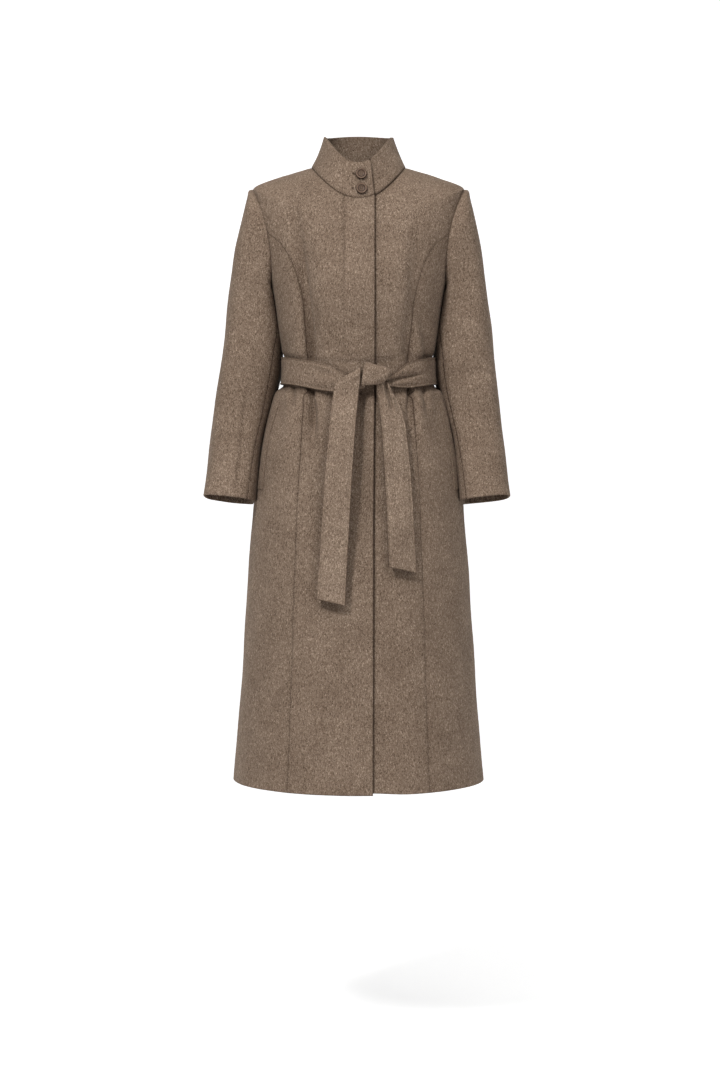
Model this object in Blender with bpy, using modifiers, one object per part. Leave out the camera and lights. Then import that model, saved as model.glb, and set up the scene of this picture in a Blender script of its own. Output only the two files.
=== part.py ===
"""A belted, stand-collar wool coat as it hangs on a wearer: hollow cloth walls, open at neck, cuffs and hem.

Metres. +X is the wearer's left, -Y the front, +Z up. The origin lies on the neck's centre line, level with
the neck ends of the shoulder seams, where the wearer's shoulders carry the coat.
"""

import math

import bmesh
import bpy
import numpy as np
from mathutils import Matrix, Vector

# Cloth and making
CLOTH = 0.003  # felted wool, one layer
COLLAR_CLOTH = 0.004  # outer and inner collar with the seam between them
BELT_CLOTH = 0.004  # wool folded double and edge stitched
SEAM_GAP = 0.0003
SLANT_SEAM_GAP = 0.0006  # where a seam runs slantwise or turns sharply
LAYER_GAP = 0.001  # between cloths that lie on each other
UNDER_DROP = 0.0045  # the under front lies this far below the coat's line
OVERLAP = 0.028  # each front passes the centre front by this much
OVERLAP_EASE = 0.085  # the under front is back on the coat's line this far from the centre
QUARTER_ARC = 1.35  # a quarter of a section is about this many half widths long
SIDE_Y = 0.008  # side seams and shoulder seams lie a little behind the middle

# Armhole: a tilted oval from the shoulder tip down to the armpit
TIP = (0.185, -0.031)  # x, z
ARMPIT = (0.1525, -0.205)
ARMHOLE_HALF_DEPTH = 0.062
ARMHOLE_INSET = 0.0115  # the front and back edges of the oval lie this much nearer the centre
ARMHOLE_TURN = 32.0  # degrees by which a section at mid armhole falls short of a quarter turn
TIP_ROW = 2
ARMPIT_ROW = 6

# One row for each girth line of the body, from the neck down: height at centre front, side and centre back,
# half width, and depth in front of and behind the origin.
BODY_COLUMNS = ("z_front", "z_side", "z_back", "half_width", "front", "back")
BODY_SECTIONS = {
    "neckline": (-0.056, 0.004, 0.012, 0.0830, 0.0980, 0.0720),
    "mid_shoulder": (-0.070, -0.0135, -0.006, 0.1380, 0.1010, 0.0860),
    "shoulder_tip": (-0.085, -0.0310, -0.032, 0.1850, 0.1050, 0.0990),
    "high_armhole": (-0.104, -0.0565, -0.067, 0.1802, 0.1110, 0.1080),
    "mid_armhole": (-0.139, -0.1180, -0.123, 0.1688, 0.1240, 0.1160),
    "low_armhole": (-0.184, -0.1795, -0.181, 0.1573, 0.1380, 0.1180),
    "armpit": (-0.2075, -0.205, -0.206, 0.1525, 0.1410, 0.1170),
    "bust": (-0.242, -0.240, -0.240, 0.1460, 0.1385, 0.1125),
    "ribs": (-0.288, -0.283, -0.284, 0.1390, 0.1275, 0.1035),
    "above_belt": (-0.333, -0.318, -0.315, 0.1340, 0.1195, 0.0970),
    "belt_top": (-0.344, -0.327, -0.322, 0.1305, 0.1145, 0.0925),
    "waist": (-0.370, -0.352, -0.347, 0.1295, 0.1135, 0.0915),
    "belt_bottom": (-0.396, -0.377, -0.372, 0.1310, 0.1145, 0.0925),
    "below_belt": (-0.407, -0.389, -0.384, 0.1445, 0.1230, 0.1030),
    "high_hip": (-0.436, -0.425, -0.422, 0.1575, 0.1345, 0.1190),
    "hip": (-0.505, -0.500, -0.499, 0.1745, 0.1500, 0.1410),
    "thigh": (-0.630, -0.630, -0.630, 0.1885, 0.1650, 0.1580),
    "knee": (-0.800, -0.800, -0.800, 0.2000, 0.1780, 0.1720),
    "calf": (-0.950, -0.950, -0.950, 0.2105, 0.1880, 0.1810),
    "hem": (-1.073, -1.070, -1.070, 0.2205, 0.1970, 0.1890),
}
SECTION_ROW = {name: row for row, name in enumerate(BODY_SECTIONS)}
HEM_ROW = SECTION_ROW["hem"]
# Mesh rows between one girth line and the next
ROW_STEPS = (2, 2, 2, 2, 4, 2, 2, 2, 2, 1, 1, 1, 1, 2, 2, 2, 2, 2, 1)

# The princess seam's share of the half width: it leaves the armhole and curves down to the hem.
PRINCESS_COLUMNS = ("row", "share")
PRINCESS_SEAM = (
    (4.0, 1.000),
    (4.25, 0.848),
    (4.5, 0.783),
    (5.0, 0.726),
    (6.0, 0.685),
    (7.0, 0.676),
    (8.0, 0.674),
    (9.0, 0.678),
    (11.0, 0.683),
    (13.0, 0.640),
    (14.0, 0.608),
    (15.0, 0.576),
    (17.0, 0.560),
    (19.0, 0.549),
)
SIDE_PANEL_TOP = 4.1  # the side front's point, just under the seam's start
PANEL_COLUMNS = {"front": 8, "side_front": 5, "back": 9}  # mesh columns across each panel

# The coat's largest folds: soft ridges (+) and hollows (-) from the belt into the skirt and up the bodice.
FOLD_COLUMNS = ("face", "x_top", "z_top", "x_end", "z_end", "width", "height")
BODY_FOLDS = (
    ("front", -0.112, -0.392, -0.128, -0.560, 0.013, 0.0045),
    ("front", -0.084, -0.396, -0.080, -0.640, 0.016, -0.0060),
    ("front", -0.048, -0.398, -0.040, -0.560, 0.015, 0.0030),
    ("front", 0.078, -0.396, 0.070, -0.620, 0.014, -0.0050),
    ("front", 0.106, -0.393, 0.124, -0.580, 0.014, 0.0045),
    ("front", -0.080, -0.338, -0.086, -0.215, 0.012, -0.0040),
    ("front", 0.080, -0.338, 0.086, -0.225, 0.012, -0.0035),
    ("front", -0.108, -0.330, -0.122, -0.235, 0.014, 0.0035),
    ("front", 0.106, -0.330, 0.120, -0.240, 0.014, 0.0035),
    ("back", -0.090, -0.375, -0.118, -0.620, 0.016, 0.0050),
    ("back", -0.050, -0.374, -0.060, -0.660, 0.016, -0.0055),
    ("back", -0.012, -0.373, -0.014, -0.560, 0.014, 0.0040),
    ("back", 0.040, -0.374, 0.052, -0.640, 0.016, -0.0055),
    ("back", 0.086, -0.375, 0.110, -0.600, 0.016, 0.0050),
    ("back", -0.060, -0.320, -0.072, -0.210, 0.014, -0.0040),
    ("back", 0.058, -0.320, 0.070, -0.225, 0.014, -0.0040),
)

# One row for each ring of a sleeve: its outer and inner ends in the front view, its middle and half depth.
SLEEVE_COLUMNS = (
    "outer_x",
    "outer_z",
    "inner_x",
    "inner_z",
    "mid_y",
    "half_depth",
    "cuff_tilt",
    "front_seam",
)
SLEEVE_SECTIONS = {
    "armhole": (TIP[0], TIP[1], ARMPIT[0], ARMPIT[1], SIDE_Y, ARMHOLE_HALF_DEPTH, 0.0, 157.5),
    "head": (0.1925, -0.0365, 0.1535, -0.2075, 0.0090, 0.0640, 0.0, 156.0),
    "cap": (0.1990, -0.0600, 0.1540, -0.2130, 0.0110, 0.0670, 0.0, 154.0),
    "upper_arm": (0.2095, -0.1080, 0.1500, -0.2260, 0.0150, 0.0700, 0.0, 150.0),
    "biceps": (0.2185, -0.1550, 0.1450, -0.2450, 0.0200, 0.0720, 0.0, 145.0),
    "above_elbow": (0.2300, -0.2350, 0.1360, -0.2900, 0.0240, 0.0715, 0.0, 136.0),
    "elbow": (0.2415, -0.3300, 0.1385, -0.3450, 0.0200, 0.0690, 0.0, 129.0),
    "forearm": (0.2530, -0.4200, 0.1530, -0.4200, 0.0150, 0.0640, -0.02, 131.0),
    "wrist": (0.2625, -0.5000, 0.1690, -0.5000, -0.0030, 0.0590, -0.06, 131.0),
    "cuff": (0.2700, -0.5715, 0.1765, -0.5820, -0.0230, 0.0560, -0.12, 129.0),
}
SLEEVE_STEPS = (1, 1, 2, 2, 2, 3, 3, 2, 2)
HIND_SLEEVE_SEAM = -112.5  # degrees round the sleeve from its outer line; its front is at 90
SLEEVE_SQUARENESS = 0.2  # how much fuller than an oval a sleeve is
SLEEVE_CLEARANCE = 0.0025  # between a sleeve and the coat's side
SLEEVE_SOFTNESS = 0.004  # how gently a sleeve bends to lie along the side
LEFT_CUFF_SHIFT = -0.005  # the left arm hangs a little closer than the right one
RIGHT_CUFF_SHIFT = 0.001

# Stand collar: its top edge, above the neckline
COLLAR_TOP = {
    "z_front": 0.0065,
    "z_side": 0.058,
    "z_back": 0.066,
    "half_width": 0.0605,
    "front": 0.0855,
    "back": 0.060,
}
COLLAR_FLARE = 0.07  # how quickly the collar draws in above its seam
COLLAR_CORNER = 0.006  # length of the rounded top corners of the collar's ends
COLLAR_CORNER_DROP = 0.08  # their drop, as a share of the collar's height

# Tie belt, knotted in front with two hanging ends
BELT_EDGE_ROWS = (SECTION_ROW["belt_top"] + 0.03, SECTION_ROW["belt_bottom"] - 0.03)
BELT_ENDS_X = (0.046, 0.012)  # both ends of the band lie behind the knot's wrap
BELT_TAPER_X = {"left": (0.100, 0.052), "right": (-0.045, -0.002)}  # the band draws in from here to the knot
BELT_DRAWN_IN = 0.5  # share of the band's width that is left at the knot
TAIL_COLUMNS = ("x", "z", "half_width", "slant", "lift")
RIGHT_TAIL = (
    (-0.0085, -0.3560, 0.0125, -0.60, 0.0055),
    (-0.0165, -0.3665, 0.0205, -0.35, 0.0056),
    (-0.0195, -0.3800, 0.0222, -0.10, 0.0060),
    (-0.0248, -0.4235, 0.0224, 0.05, 0.0065),
    (-0.0335, -0.5275, 0.0234, 0.07, 0.0070),
    (-0.0419, -0.6670, 0.0241, 0.08, 0.0090),
    (-0.0470, -0.7480, 0.0250, 0.22, 0.0130),
)
LEFT_TAIL = (
    (0.0405, -0.3740, 0.0105, 0.00, 0.0062),
    (0.0450, -0.3900, 0.0135, 0.02, 0.0075),
    (0.0512, -0.4080, 0.0179, 0.05, 0.0085),
    (0.0584, -0.4390, 0.0210, 0.08, 0.0080),
    (0.0630, -0.4850, 0.0222, 0.10, 0.0075),
    (0.0675, -0.5410, 0.0230, 0.11, 0.0080),
    (0.0752, -0.6940, 0.0240, 0.24, 0.0130),
)
# The knot's wrap, from its left end in the front view to its right one: place along it, half height,
# stand-off of its upper and its lower edge from the coat, and how far it bulges between them.
KNOT_COLUMNS = ("x", "z", "half_height", "lift_top", "lift_low", "bulge")
KNOT = (
    (0.0065, -0.3640, 0.0145, 0.0065, 0.0080, 0.0050),
    (0.0190, -0.3630, 0.0192, 0.0070, 0.0115, 0.0080),
    (0.0360, -0.3640, 0.0180, 0.0070, 0.0130, 0.0085),
    (0.0580, -0.3655, 0.0090, 0.0062, 0.0110, 0.0050),
)

# Pocket welts beside the side seams
WELT_ANGLES = (0.73, 0.82)  # share of the quarter turn from the centre front to the side
WELT_ROWS = (13.5, 15.5)
WELT_CLOTH = 0.0012
WELT_LIFT = 0.0008

# Collar buttons
BUTTON_RADIUS = 0.010
BUTTON_X = 0.0055
BUTTON_THICKNESS = 0.0038
BUTTON_DISH = 0.0014
BUTTON_SIDES = 20
BUTTON_HEIGHTS = {"collar_button_upper": 0.66, "collar_button_lower": 0.245}  # share of the collar's height

WOOL = {"colour": (0.236, 0.171, 0.124), "roughness": 0.95}
HORN = {"colour": (0.085, 0.060, 0.042), "roughness": 0.45}


# Curves and surfaces


def smooth(knots, values, at):
    """Values along a table, joined by a cubic that never overshoots its rows."""
    knots, values, at = (np.asarray(x, float) for x in (knots, values, at))
    step = np.diff(knots)
    slope = np.diff(values) / step
    tangent = np.zeros_like(values)
    turning = slope[:-1] * slope[1:] > 0
    safe = np.where(turning, slope[:-1] + slope[1:], 1.0)
    tangent[1:-1] = np.where(turning, 2 * slope[:-1] * slope[1:] / safe, 0.0)
    tangent[0], tangent[-1] = slope[0], slope[-1]
    span = np.clip(np.searchsorted(knots, at, side="right") - 1, 0, len(step) - 1)
    t = (at - knots[span]) / step[span]
    return (
        values[span] * (1 + 2 * t) * (1 - t) ** 2
        + tangent[span] * step[span] * t * (1 - t) ** 2
        + values[span + 1] * t * t * (3 - 2 * t)
        + tangent[span + 1] * step[span] * t * t * (t - 1)
    )


def ease(value, start, end):
    """0 at start, 1 at end, with a soft beginning and end."""
    t = np.clip((value - start) / (end - start), 0.0, 1.0)
    return t * t * (3 - 2 * t)


def column(sections, columns, name, at):
    """One column of a table of sections, at any row position."""
    values = [row[columns.index(name)] for row in sections]
    return smooth(range(len(values)), values, at)


def body_column(name, row):
    return column(list(BODY_SECTIONS.values()), BODY_COLUMNS, name, row)


def armhole_angle(row):
    """Angle round the armhole, 0 at the shoulder tip and half a turn at the armpit."""
    return np.pi * np.clip((row - TIP_ROW) / (ARMPIT_ROW - TIP_ROW), 0.0, 1.0)


def body_edge(row, face):
    """Where a front or back section ends: shoulder seam, armhole edge or side seam, as x, y and z."""
    angle = armhole_angle(row)
    beside = (row > TIP_ROW) & (row < ARMPIT_ROW)
    middle = [(TIP[k] + ARMPIT[k]) / 2 for k in (0, 1)]
    half = [(TIP[k] - ARMPIT[k]) / 2 for k in (0, 1)]
    x = np.where(
        beside,
        middle[0] + half[0] * np.cos(angle) - ARMHOLE_INSET * np.sin(angle) ** 2,
        body_column("half_width", row),
    )
    z = np.where(beside, middle[1] + half[1] * np.cos(angle), body_column("z_side", row))
    outward = -1.0 if face == "front" else 1.0
    y = SIDE_Y + outward * ARMHOLE_HALF_DEPTH * np.where(beside, np.sin(angle), 0.0)
    return x, y, z


def plain_body(face, angle, row):
    """The body without folds. angle runs from -1 at the right side to 1 at the left, 0 at the centre line."""
    x_edge, y_edge, z_edge = body_edge(row, face)
    turn = np.radians(90.0 - ARMHOLE_TURN * np.sin(armhole_angle(row)) ** 2)
    depth = -body_column("front", row) if face == "front" else body_column("back", row)
    z_middle = body_column("z_" + face, row)
    across = np.sin(angle * turn) / np.sin(turn)
    forward = (np.cos(angle * turn) - np.cos(turn)) / (1 - np.cos(turn))
    return np.stack(
        [
            x_edge * across,
            y_edge + (depth - y_edge) * forward,
            z_middle + (z_edge - z_middle) * across**2,
        ],
        axis=-1,
    )


def normals(surface, u, v, flip):
    """Outward normals of a surface, from its slopes."""
    step = 1e-4
    along_u = surface(u + step, v) - surface(u - step, v)
    along_v = surface(u, v + step) - surface(u, v - step)
    normal = np.cross(along_u, along_v) * (-1.0 if flip else 1.0)
    return normal / np.linalg.norm(normal, axis=-1, keepdims=True)


def fold_height(face, point):
    """How far the folds lift the cloth at a point of the plain body."""
    x, z = point[..., 0], point[..., 2]
    lift = np.zeros_like(x)
    for on_face, x_top, z_top, x_end, z_end, width, height in BODY_FOLDS:
        if on_face != face:
            continue
        along = (z - z_top) / (z_end - z_top)
        line = x_top + (x_end - x_top) * np.clip(along, 0.0, 1.0)
        spread = width * (1 + 0.8 * np.clip(along, 0.0, 1.0))
        window = ease(along, 0.0, 0.10) * (1 - ease(along, 0.35, 1.0))
        lift += height * window * np.exp(-(((x - line) / spread) ** 2))
    return lift


def body(face, angle, row, under=0.0):
    """The coat's outer surface. under lowers the part of the left front that passes below the right one."""
    inside_out = face == "front"
    plain = plain_body(face, angle, row)
    normal = normals(lambda a, r: plain_body(face, a, r), angle, row, inside_out)
    lift = fold_height(face, plain)
    if under:
        lift = lift - under * (1 - ease(plain[..., 0], OVERLAP + 0.006, OVERLAP_EASE))
    return plain + normal * lift[..., None]


def angle_at_x(x, row):
    """The front's angle parameter at a distance x from the centre front."""
    x_edge = body_edge(row, "front")[0]
    turn = np.radians(90.0 - ARMHOLE_TURN * np.sin(armhole_angle(row)) ** 2)
    return np.arcsin(np.clip(x / x_edge * np.sin(turn), -1.0, 1.0)) / turn


def row_at(z, x=0.0):
    """The body's row position at a height of the front below the bust."""
    rows = np.linspace(SECTION_ROW["bust"], HEM_ROW, 400)
    share = np.clip(np.asarray(x)[..., None] / body_column("half_width", rows), -1.0, 1.0) ** 2
    middle = body_column("z_front", rows)
    heights = middle + (body_column("z_side", rows) - middle) * share
    z, heights = np.broadcast_arrays(np.asarray(z)[..., None], heights)
    return rows[np.argmin(np.abs(heights - z), axis=-1)]


def girth(turn, row):
    """A ring round the coat: 0 centre front, 1 left side, 2 centre back, 3 right side, 4 centre front."""
    front = plain_body("front", np.where(turn > 2, turn - 4, turn), row)
    back = plain_body("back", 2 - turn, row)
    on_back = (turn > 1) & (turn < 3)
    return np.where(on_back[..., None], back, front)


# Walls


def steps_to_rows(steps):
    """Mesh rows: each stretch between two sections cut into its number of steps."""
    rows = [k + i / n for k, n in enumerate(steps) for i in range(n)]
    return np.array(rows + [float(len(steps))])


def cloth_wall(name, outer, inner, material, collection):
    """A closed solid between two matching grids of points, with a rim round its edges."""
    rows, columns = outer.shape[:2]
    mesh = bmesh.new()
    skins = [[[mesh.verts.new(p) for p in row] for row in skin] for skin in (outer, inner)]
    for i in range(rows - 1):
        for j in range(columns - 1):
            for skin, order in zip(skins, (1, -1)):
                corners = [skin[i][j], skin[i][j + 1], skin[i + 1][j + 1], skin[i + 1][j]]
                mesh.faces.new(corners[::order])
    path = [(0, j) for j in range(columns)] + [(i, columns - 1) for i in range(1, rows)]
    path += [(rows - 1, j) for j in range(columns - 2, -1, -1)] + [(i, 0) for i in range(rows - 2, 0, -1)]
    for (i, j), (k, m) in zip(path, path[1:] + path[:1]):
        mesh.faces.new([skins[0][k][m], skins[0][i][j], skins[1][i][j], skins[1][k][m]])
    bmesh.ops.recalc_face_normals(mesh, faces=mesh.faces)
    return finish_object(name, mesh, material, collection)


def finish_object(name, mesh, material, collection):
    data = bpy.data.meshes.new(name)
    mesh.to_mesh(data)
    mesh.free()
    data.shade_smooth()
    data.set_sharp_from_angle(angle=math.radians(50))
    data.materials.append(material)
    obj = bpy.data.objects.new(name, data)
    collection.objects.link(obj)
    return obj


def surface_wall(name, surface, u, v, thickness, flip, material, collection, rim=None, lift=0.0):
    """A wall of one thickness under a surface. rim(outer, inner) may set how its edges are cut."""
    outer = surface(u, v)
    normal = normals(surface, u, v, flip)
    outer = outer + normal * np.asarray(lift)[..., None]
    inner = outer - normal * thickness
    if rim:
        inner = rim(outer, inner)
    return cloth_wall(name, outer, inner, material, collection)


# Coat body


def princess_share(row):
    table = np.array(PRINCESS_SEAM)
    share = smooth(table[:, PRINCESS_COLUMNS.index("row")], table[:, PRINCESS_COLUMNS.index("share")], row)
    return np.where(row < PRINCESS_SEAM[0][0], 1.0, share)


def princess_angle(row):
    return angle_at_x(princess_share(row) * body_edge(row, "front")[0], row)


def arc_share(gap, row):
    """A gap along a section, as a share of its quarter turn."""
    x_edge = body_edge(row, "front")[0]
    return gap / (QUARTER_ARC * x_edge)


def armhole_rim(rows, edge_column):
    """Cuts a panel's armhole edge towards the armhole's middle, so that sleeve and body meet face to face."""
    middle = np.array([(TIP[0] + ARMPIT[0]) / 2, SIDE_Y, (TIP[1] + ARMPIT[1]) / 2])
    beside = (rows >= TIP_ROW) & (rows <= ARMPIT_ROW)

    def cut(outer, inner):
        edge = outer[:, edge_column]
        centre = middle * np.array([np.sign(edge[0, 0]), 1.0, 1.0])
        inward = (centre - edge) * np.array([0.0, 1.0, 1.0])
        inward /= np.linalg.norm(inward, axis=-1, keepdims=True)
        inner[beside, edge_column] = (edge + inward * CLOTH)[beside]
        return inner

    return cut


def body_rows(first=0.0):
    """Mesh rows of a panel from its top to the hem, one of them level with the side front's point."""
    rows = np.sort(np.append(steps_to_rows(ROW_STEPS), SIDE_PANEL_TOP))
    return rows[rows >= first]


def spread(start, end, columns):
    """A grid row by row: the same number of columns from start to end of each row."""
    share = np.linspace(0.0, 1.0, columns + 1)
    return start[:, None] + (end - start)[:, None] * share


def front_panel(side, material, collection):
    """A centre front, from the princess seam and armhole to its edge past the centre front."""
    rows = body_rows()
    columns = PANEL_COLUMNS["front"]
    slant = 1 - ease(rows, PRINCESS_SEAM[0][0], ARMPIT_ROW)
    gap = arc_share((SEAM_GAP + (SLANT_SEAM_GAP - SEAM_GAP) * slant) / 2, rows)
    seam = princess_angle(rows) - gap
    edge = angle_at_x(OVERLAP, rows)
    if side == "right":
        angle, under, seam_column = spread(-seam, edge, columns), 0.0, 0
    else:
        angle, under, seam_column = spread(-edge, seam, columns), UNDER_DROP, -1
    row = np.repeat(rows[:, None], columns + 1, axis=1)
    return surface_wall(
        side + "_front",
        lambda a, r: body("front", a, r, under),
        angle,
        row,
        CLOTH,
        True,
        material,
        collection,
        armhole_rim(np.where(rows <= PRINCESS_SEAM[0][0], rows, -1.0), seam_column),
    )


def side_front_panel(side, material, collection):
    """A side front, between the princess seam and the armhole and side seam."""
    rows = body_rows(SIDE_PANEL_TOP)
    columns = PANEL_COLUMNS["side_front"]
    gap = arc_share(SEAM_GAP / 2, rows)
    slant = 1 - ease(rows, PRINCESS_SEAM[0][0], ARMPIT_ROW)
    seam_gap = arc_share((SEAM_GAP + (SLANT_SEAM_GAP - SEAM_GAP) * slant) / 2, rows)
    sign = -1.0 if side == "right" else 1.0
    ends = (princess_angle(rows) + seam_gap, 1.0 - gap)
    start, end = ends if sign > 0 else (-ends[1], -ends[0])
    row = np.repeat(rows[:, None], columns + 1, axis=1)
    return surface_wall(
        side + "_side_front",
        lambda a, r: body("front", a, r),
        spread(start, end, columns),
        row,
        CLOTH,
        True,
        material,
        collection,
        armhole_rim(rows, -1 if sign > 0 else 0),
    )


def back_panel(side, material, collection):
    """Half the back, from the centre back seam to the shoulder seam, armhole and side seam."""
    rows = body_rows()
    columns = PANEL_COLUMNS["back"]
    gap = arc_share(SEAM_GAP / 2, rows)
    sign = -1.0 if side == "right" else 1.0
    start, end = (gap, 1.0 - gap) if sign > 0 else (-1.0 + gap, -gap)
    row = np.repeat(rows[:, None], columns + 1, axis=1)
    return surface_wall(
        side + "_back",
        lambda a, r: body("back", a, r),
        spread(start, end, columns),
        row,
        CLOTH,
        False,
        material,
        collection,
        armhole_rim(rows, -1 if sign > 0 else 0),
    )


# Sleeves


def side_half_width(y, z):
    """The coat's half width at a depth and height below the armpit."""
    rows = np.linspace(ARMPIT_ROW, HEM_ROW, 400)
    row = np.interp(-z, -body_column("z_side", rows), rows)
    depth = np.where(y < SIDE_Y, -body_column("front", row), body_column("back", row))
    share = np.clip((y - SIDE_Y) / (depth - SIDE_Y), -1.0, 1.0)
    half = body_column("half_width", row) * np.sqrt(1 - share**2)
    return np.where(z < ARMPIT[1], half, 0.0)


def sleeve(side, angle, row):
    """A sleeve's outer surface. angle is 0 on its outer line and a quarter turn at its front."""
    sections = list(SLEEVE_SECTIONS.values())
    outer_x, outer_z, inner_x, inner_z, mid_y, half_depth, tilt, _ = (
        column(sections, SLEEVE_COLUMNS, name, row) for name in SLEEVE_COLUMNS
    )
    last = len(sections) - 1
    shift = (LEFT_CUFF_SHIFT if side == "left" else RIGHT_CUFF_SHIFT) * ease(row, 3.0, last)
    inset = ARMHOLE_INSET * (1 - ease(row, 0.0, 2.0))
    fuller = SLEEVE_SQUARENESS * ease(row, 0.0, 2.0)
    outward = np.cos(angle) * (1 + fuller * np.sin(angle) ** 2)
    y = mid_y - half_depth * np.sin(angle) * (1 + fuller * np.cos(angle) ** 2)
    x = (outer_x + inner_x) / 2 + (outer_x - inner_x) / 2 * outward - inset * np.sin(angle) ** 2 + shift
    z = (outer_z + inner_z) / 2 + (outer_z - inner_z) / 2 * outward + tilt * (y - mid_y)
    clear = side_half_width(y, z) + SLEEVE_CLEARANCE
    beside = (x + clear + np.sqrt((x - clear) ** 2 + SLEEVE_SOFTNESS**2)) / 2
    x = x + (beside - x) * ease(row, 0.0, 1.0)
    sign = 1.0 if side == "left" else -1.0
    return np.stack([sign * x, y, z], axis=-1)


def sleeve_panel(side, part, material, collection):
    """The top or under sleeve, between the front and hind sleeve seams."""
    armhole = np.degrees(armhole_angle(steps_to_rows(ROW_STEPS)))
    armhole = armhole[(armhole > 0) & (armhole < 180)]
    round_armhole = np.unique(np.concatenate([armhole, -armhole, 360 - armhole, [0.0, 180.0]]))
    front_seam = column(list(SLEEVE_SECTIONS.values()), SLEEVE_COLUMNS, "front_seam", 0.0)
    if part == "top":
        start, end = HIND_SLEEVE_SEAM, front_seam
    else:
        start, end = front_seam, HIND_SLEEVE_SEAM + 360
    degrees = round_armhole[(round_armhole >= start - 0.01) & (round_armhole <= end + 0.01)]
    gap = math.degrees(SLANT_SEAM_GAP / 2 / ARMHOLE_HALF_DEPTH)
    rows = steps_to_rows(SLEEVE_STEPS)
    share = (degrees - degrees[0]) / (degrees[-1] - degrees[0])
    seam = column(list(SLEEVE_SECTIONS.values()), SLEEVE_COLUMNS, "front_seam", rows)
    fixed = np.full(rows.shape, HIND_SLEEVE_SEAM)
    ends = (fixed + gap, seam - gap) if part == "top" else (seam + gap, fixed + 360 - gap)
    angle = np.radians(ends[0][:, None] + (ends[1] - ends[0])[:, None] * share)
    row = np.repeat(rows[:, None], len(share), axis=1)
    middle = np.array([(TIP[0] + ARMPIT[0]) / 2, SIDE_Y, (TIP[1] + ARMPIT[1]) / 2])
    sign = 1.0 if side == "left" else -1.0

    def cut_at_armhole(outer, inner):
        outer[0, :, 0] += sign * SEAM_GAP
        inward = (middle * np.array([sign, 1.0, 1.0]) - outer[0]) * np.array([0.0, 1.0, 1.0])
        inward /= np.linalg.norm(inward, axis=-1, keepdims=True)
        inner[0] = outer[0] + inward * CLOTH
        return inner

    return surface_wall(
        f"{side}_{part}_sleeve",
        lambda a, r: sleeve(side, a, r),
        angle,
        row,
        CLOTH,
        side == "right",
        material,
        collection,
        cut_at_armhole,
    )


# Collar and buttons


def collar(turn, height):
    """The stand collar: turn goes round the neck as girth does, height is 0 at the seam and 1 at the top."""
    base = girth(turn, np.zeros_like(turn))
    on_back = (turn > 1) & (turn < 3)
    quarter = np.where(on_back, 2 - turn, np.where(turn > 2, turn - 4, turn)) * np.pi / 2
    depth = np.where(on_back, COLLAR_TOP["back"], -COLLAR_TOP["front"])
    z_middle = np.where(on_back, COLLAR_TOP["z_back"], COLLAR_TOP["z_front"])
    top = np.stack(
        [
            COLLAR_TOP["half_width"] * np.sin(quarter),
            SIDE_Y + (depth - SIDE_Y) * np.cos(quarter),
            z_middle + (COLLAR_TOP["z_side"] - z_middle) * np.sin(quarter) ** 2,
        ],
        axis=-1,
    )
    inward = (height + COLLAR_FLARE * np.sin(np.pi * np.clip(height, 0, 1)))[..., None]
    rise = height[..., None]
    blend = np.concatenate([inward, inward, rise], axis=-1)
    return base + (top - base) * blend


def stand_collar(material, collection, levels=4):
    """The collar band: its left end passes below the right one at the centre front."""
    end = float(angle_at_x(np.array(OVERLAP), np.array(0.0)))
    left, back, right = (
        np.linspace(-end, 1, PANEL_COLUMNS["front"] + 1),
        np.linspace(1, 3, 2 * PANEL_COLUMNS["back"] + 1),
        np.linspace(3, 4 + end, PANEL_COLUMNS["front"] + 1),
    )
    turns = np.concatenate([left, back[1:-1], right])
    heights = np.linspace(0.0, 1.0, levels + 1)
    turn, height = np.meshgrid(turns, heights)
    from_seam = SEAM_GAP / (COLLAR_TOP["z_side"] - body_column("z_side", 0.0))
    height = from_seam + height * (1 - from_seam)
    to_end = np.minimum(turn + end, 4 + end - turn) * QUARTER_ARC * body_column("half_width", 0.0)
    corner = np.clip(1 - to_end / COLLAR_CORNER, 0, 1) ** 2
    height = height - COLLAR_CORNER_DROP * np.where(height > heights[-2], corner, 0.0)
    x = collar(turn, height)[..., 0]
    under = np.where(turn < 1, 1 - ease(x, OVERLAP + 0.006, OVERLAP_EASE), 0.0)
    lift = -(COLLAR_CLOTH + LAYER_GAP) * under
    return surface_wall(
        "stand_collar", collar, turn, height, COLLAR_CLOTH, False, material, collection, None, lift
    )


def button(name, collar_height, material, collection):
    """A turned button: a dished face inside a rounded rim, lying on the collar."""
    turn = np.array(4 + float(angle_at_x(np.array(BUTTON_X), np.array(0.0))))
    height = np.array(collar_height)
    seat = Vector(collar(turn, height))
    out = Vector(normals(collar, turn, height, False))
    top, floor = BUTTON_THICKNESS, BUTTON_THICKNESS - BUTTON_DISH
    profile = (  # share of the radius, height
        (0.0, floor),
        (0.55, floor),
        (0.72, top - 0.2 * BUTTON_DISH),
        (0.82, top),
        (0.93, top - 0.3 * BUTTON_DISH),
        (1.0, 0.55 * top),
        (0.93, 0.12 * top),
        (0.80, 0.0),
        (0.0, 0.0),
    )
    mesh = bmesh.new()
    points = [mesh.verts.new((BUTTON_RADIUS * r, 0.0, z)) for r, z in profile]
    for pair in zip(points, points[1:]):
        mesh.edges.new(pair)
    obj = finish_object(name, mesh, material, collection)
    screw = obj.modifiers.new("turned", "SCREW")
    screw.steps = screw.render_steps = BUTTON_SIDES
    screw.use_merge_vertices = True
    screw.merge_threshold = 1e-5
    screw.use_smooth_shade = True
    tilt = out.to_track_quat("Z", "Y").to_matrix().to_4x4()
    obj.matrix_world = Matrix.Translation(seat + out * LAYER_GAP) @ tilt
    return obj


# Belt and pockets


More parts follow.
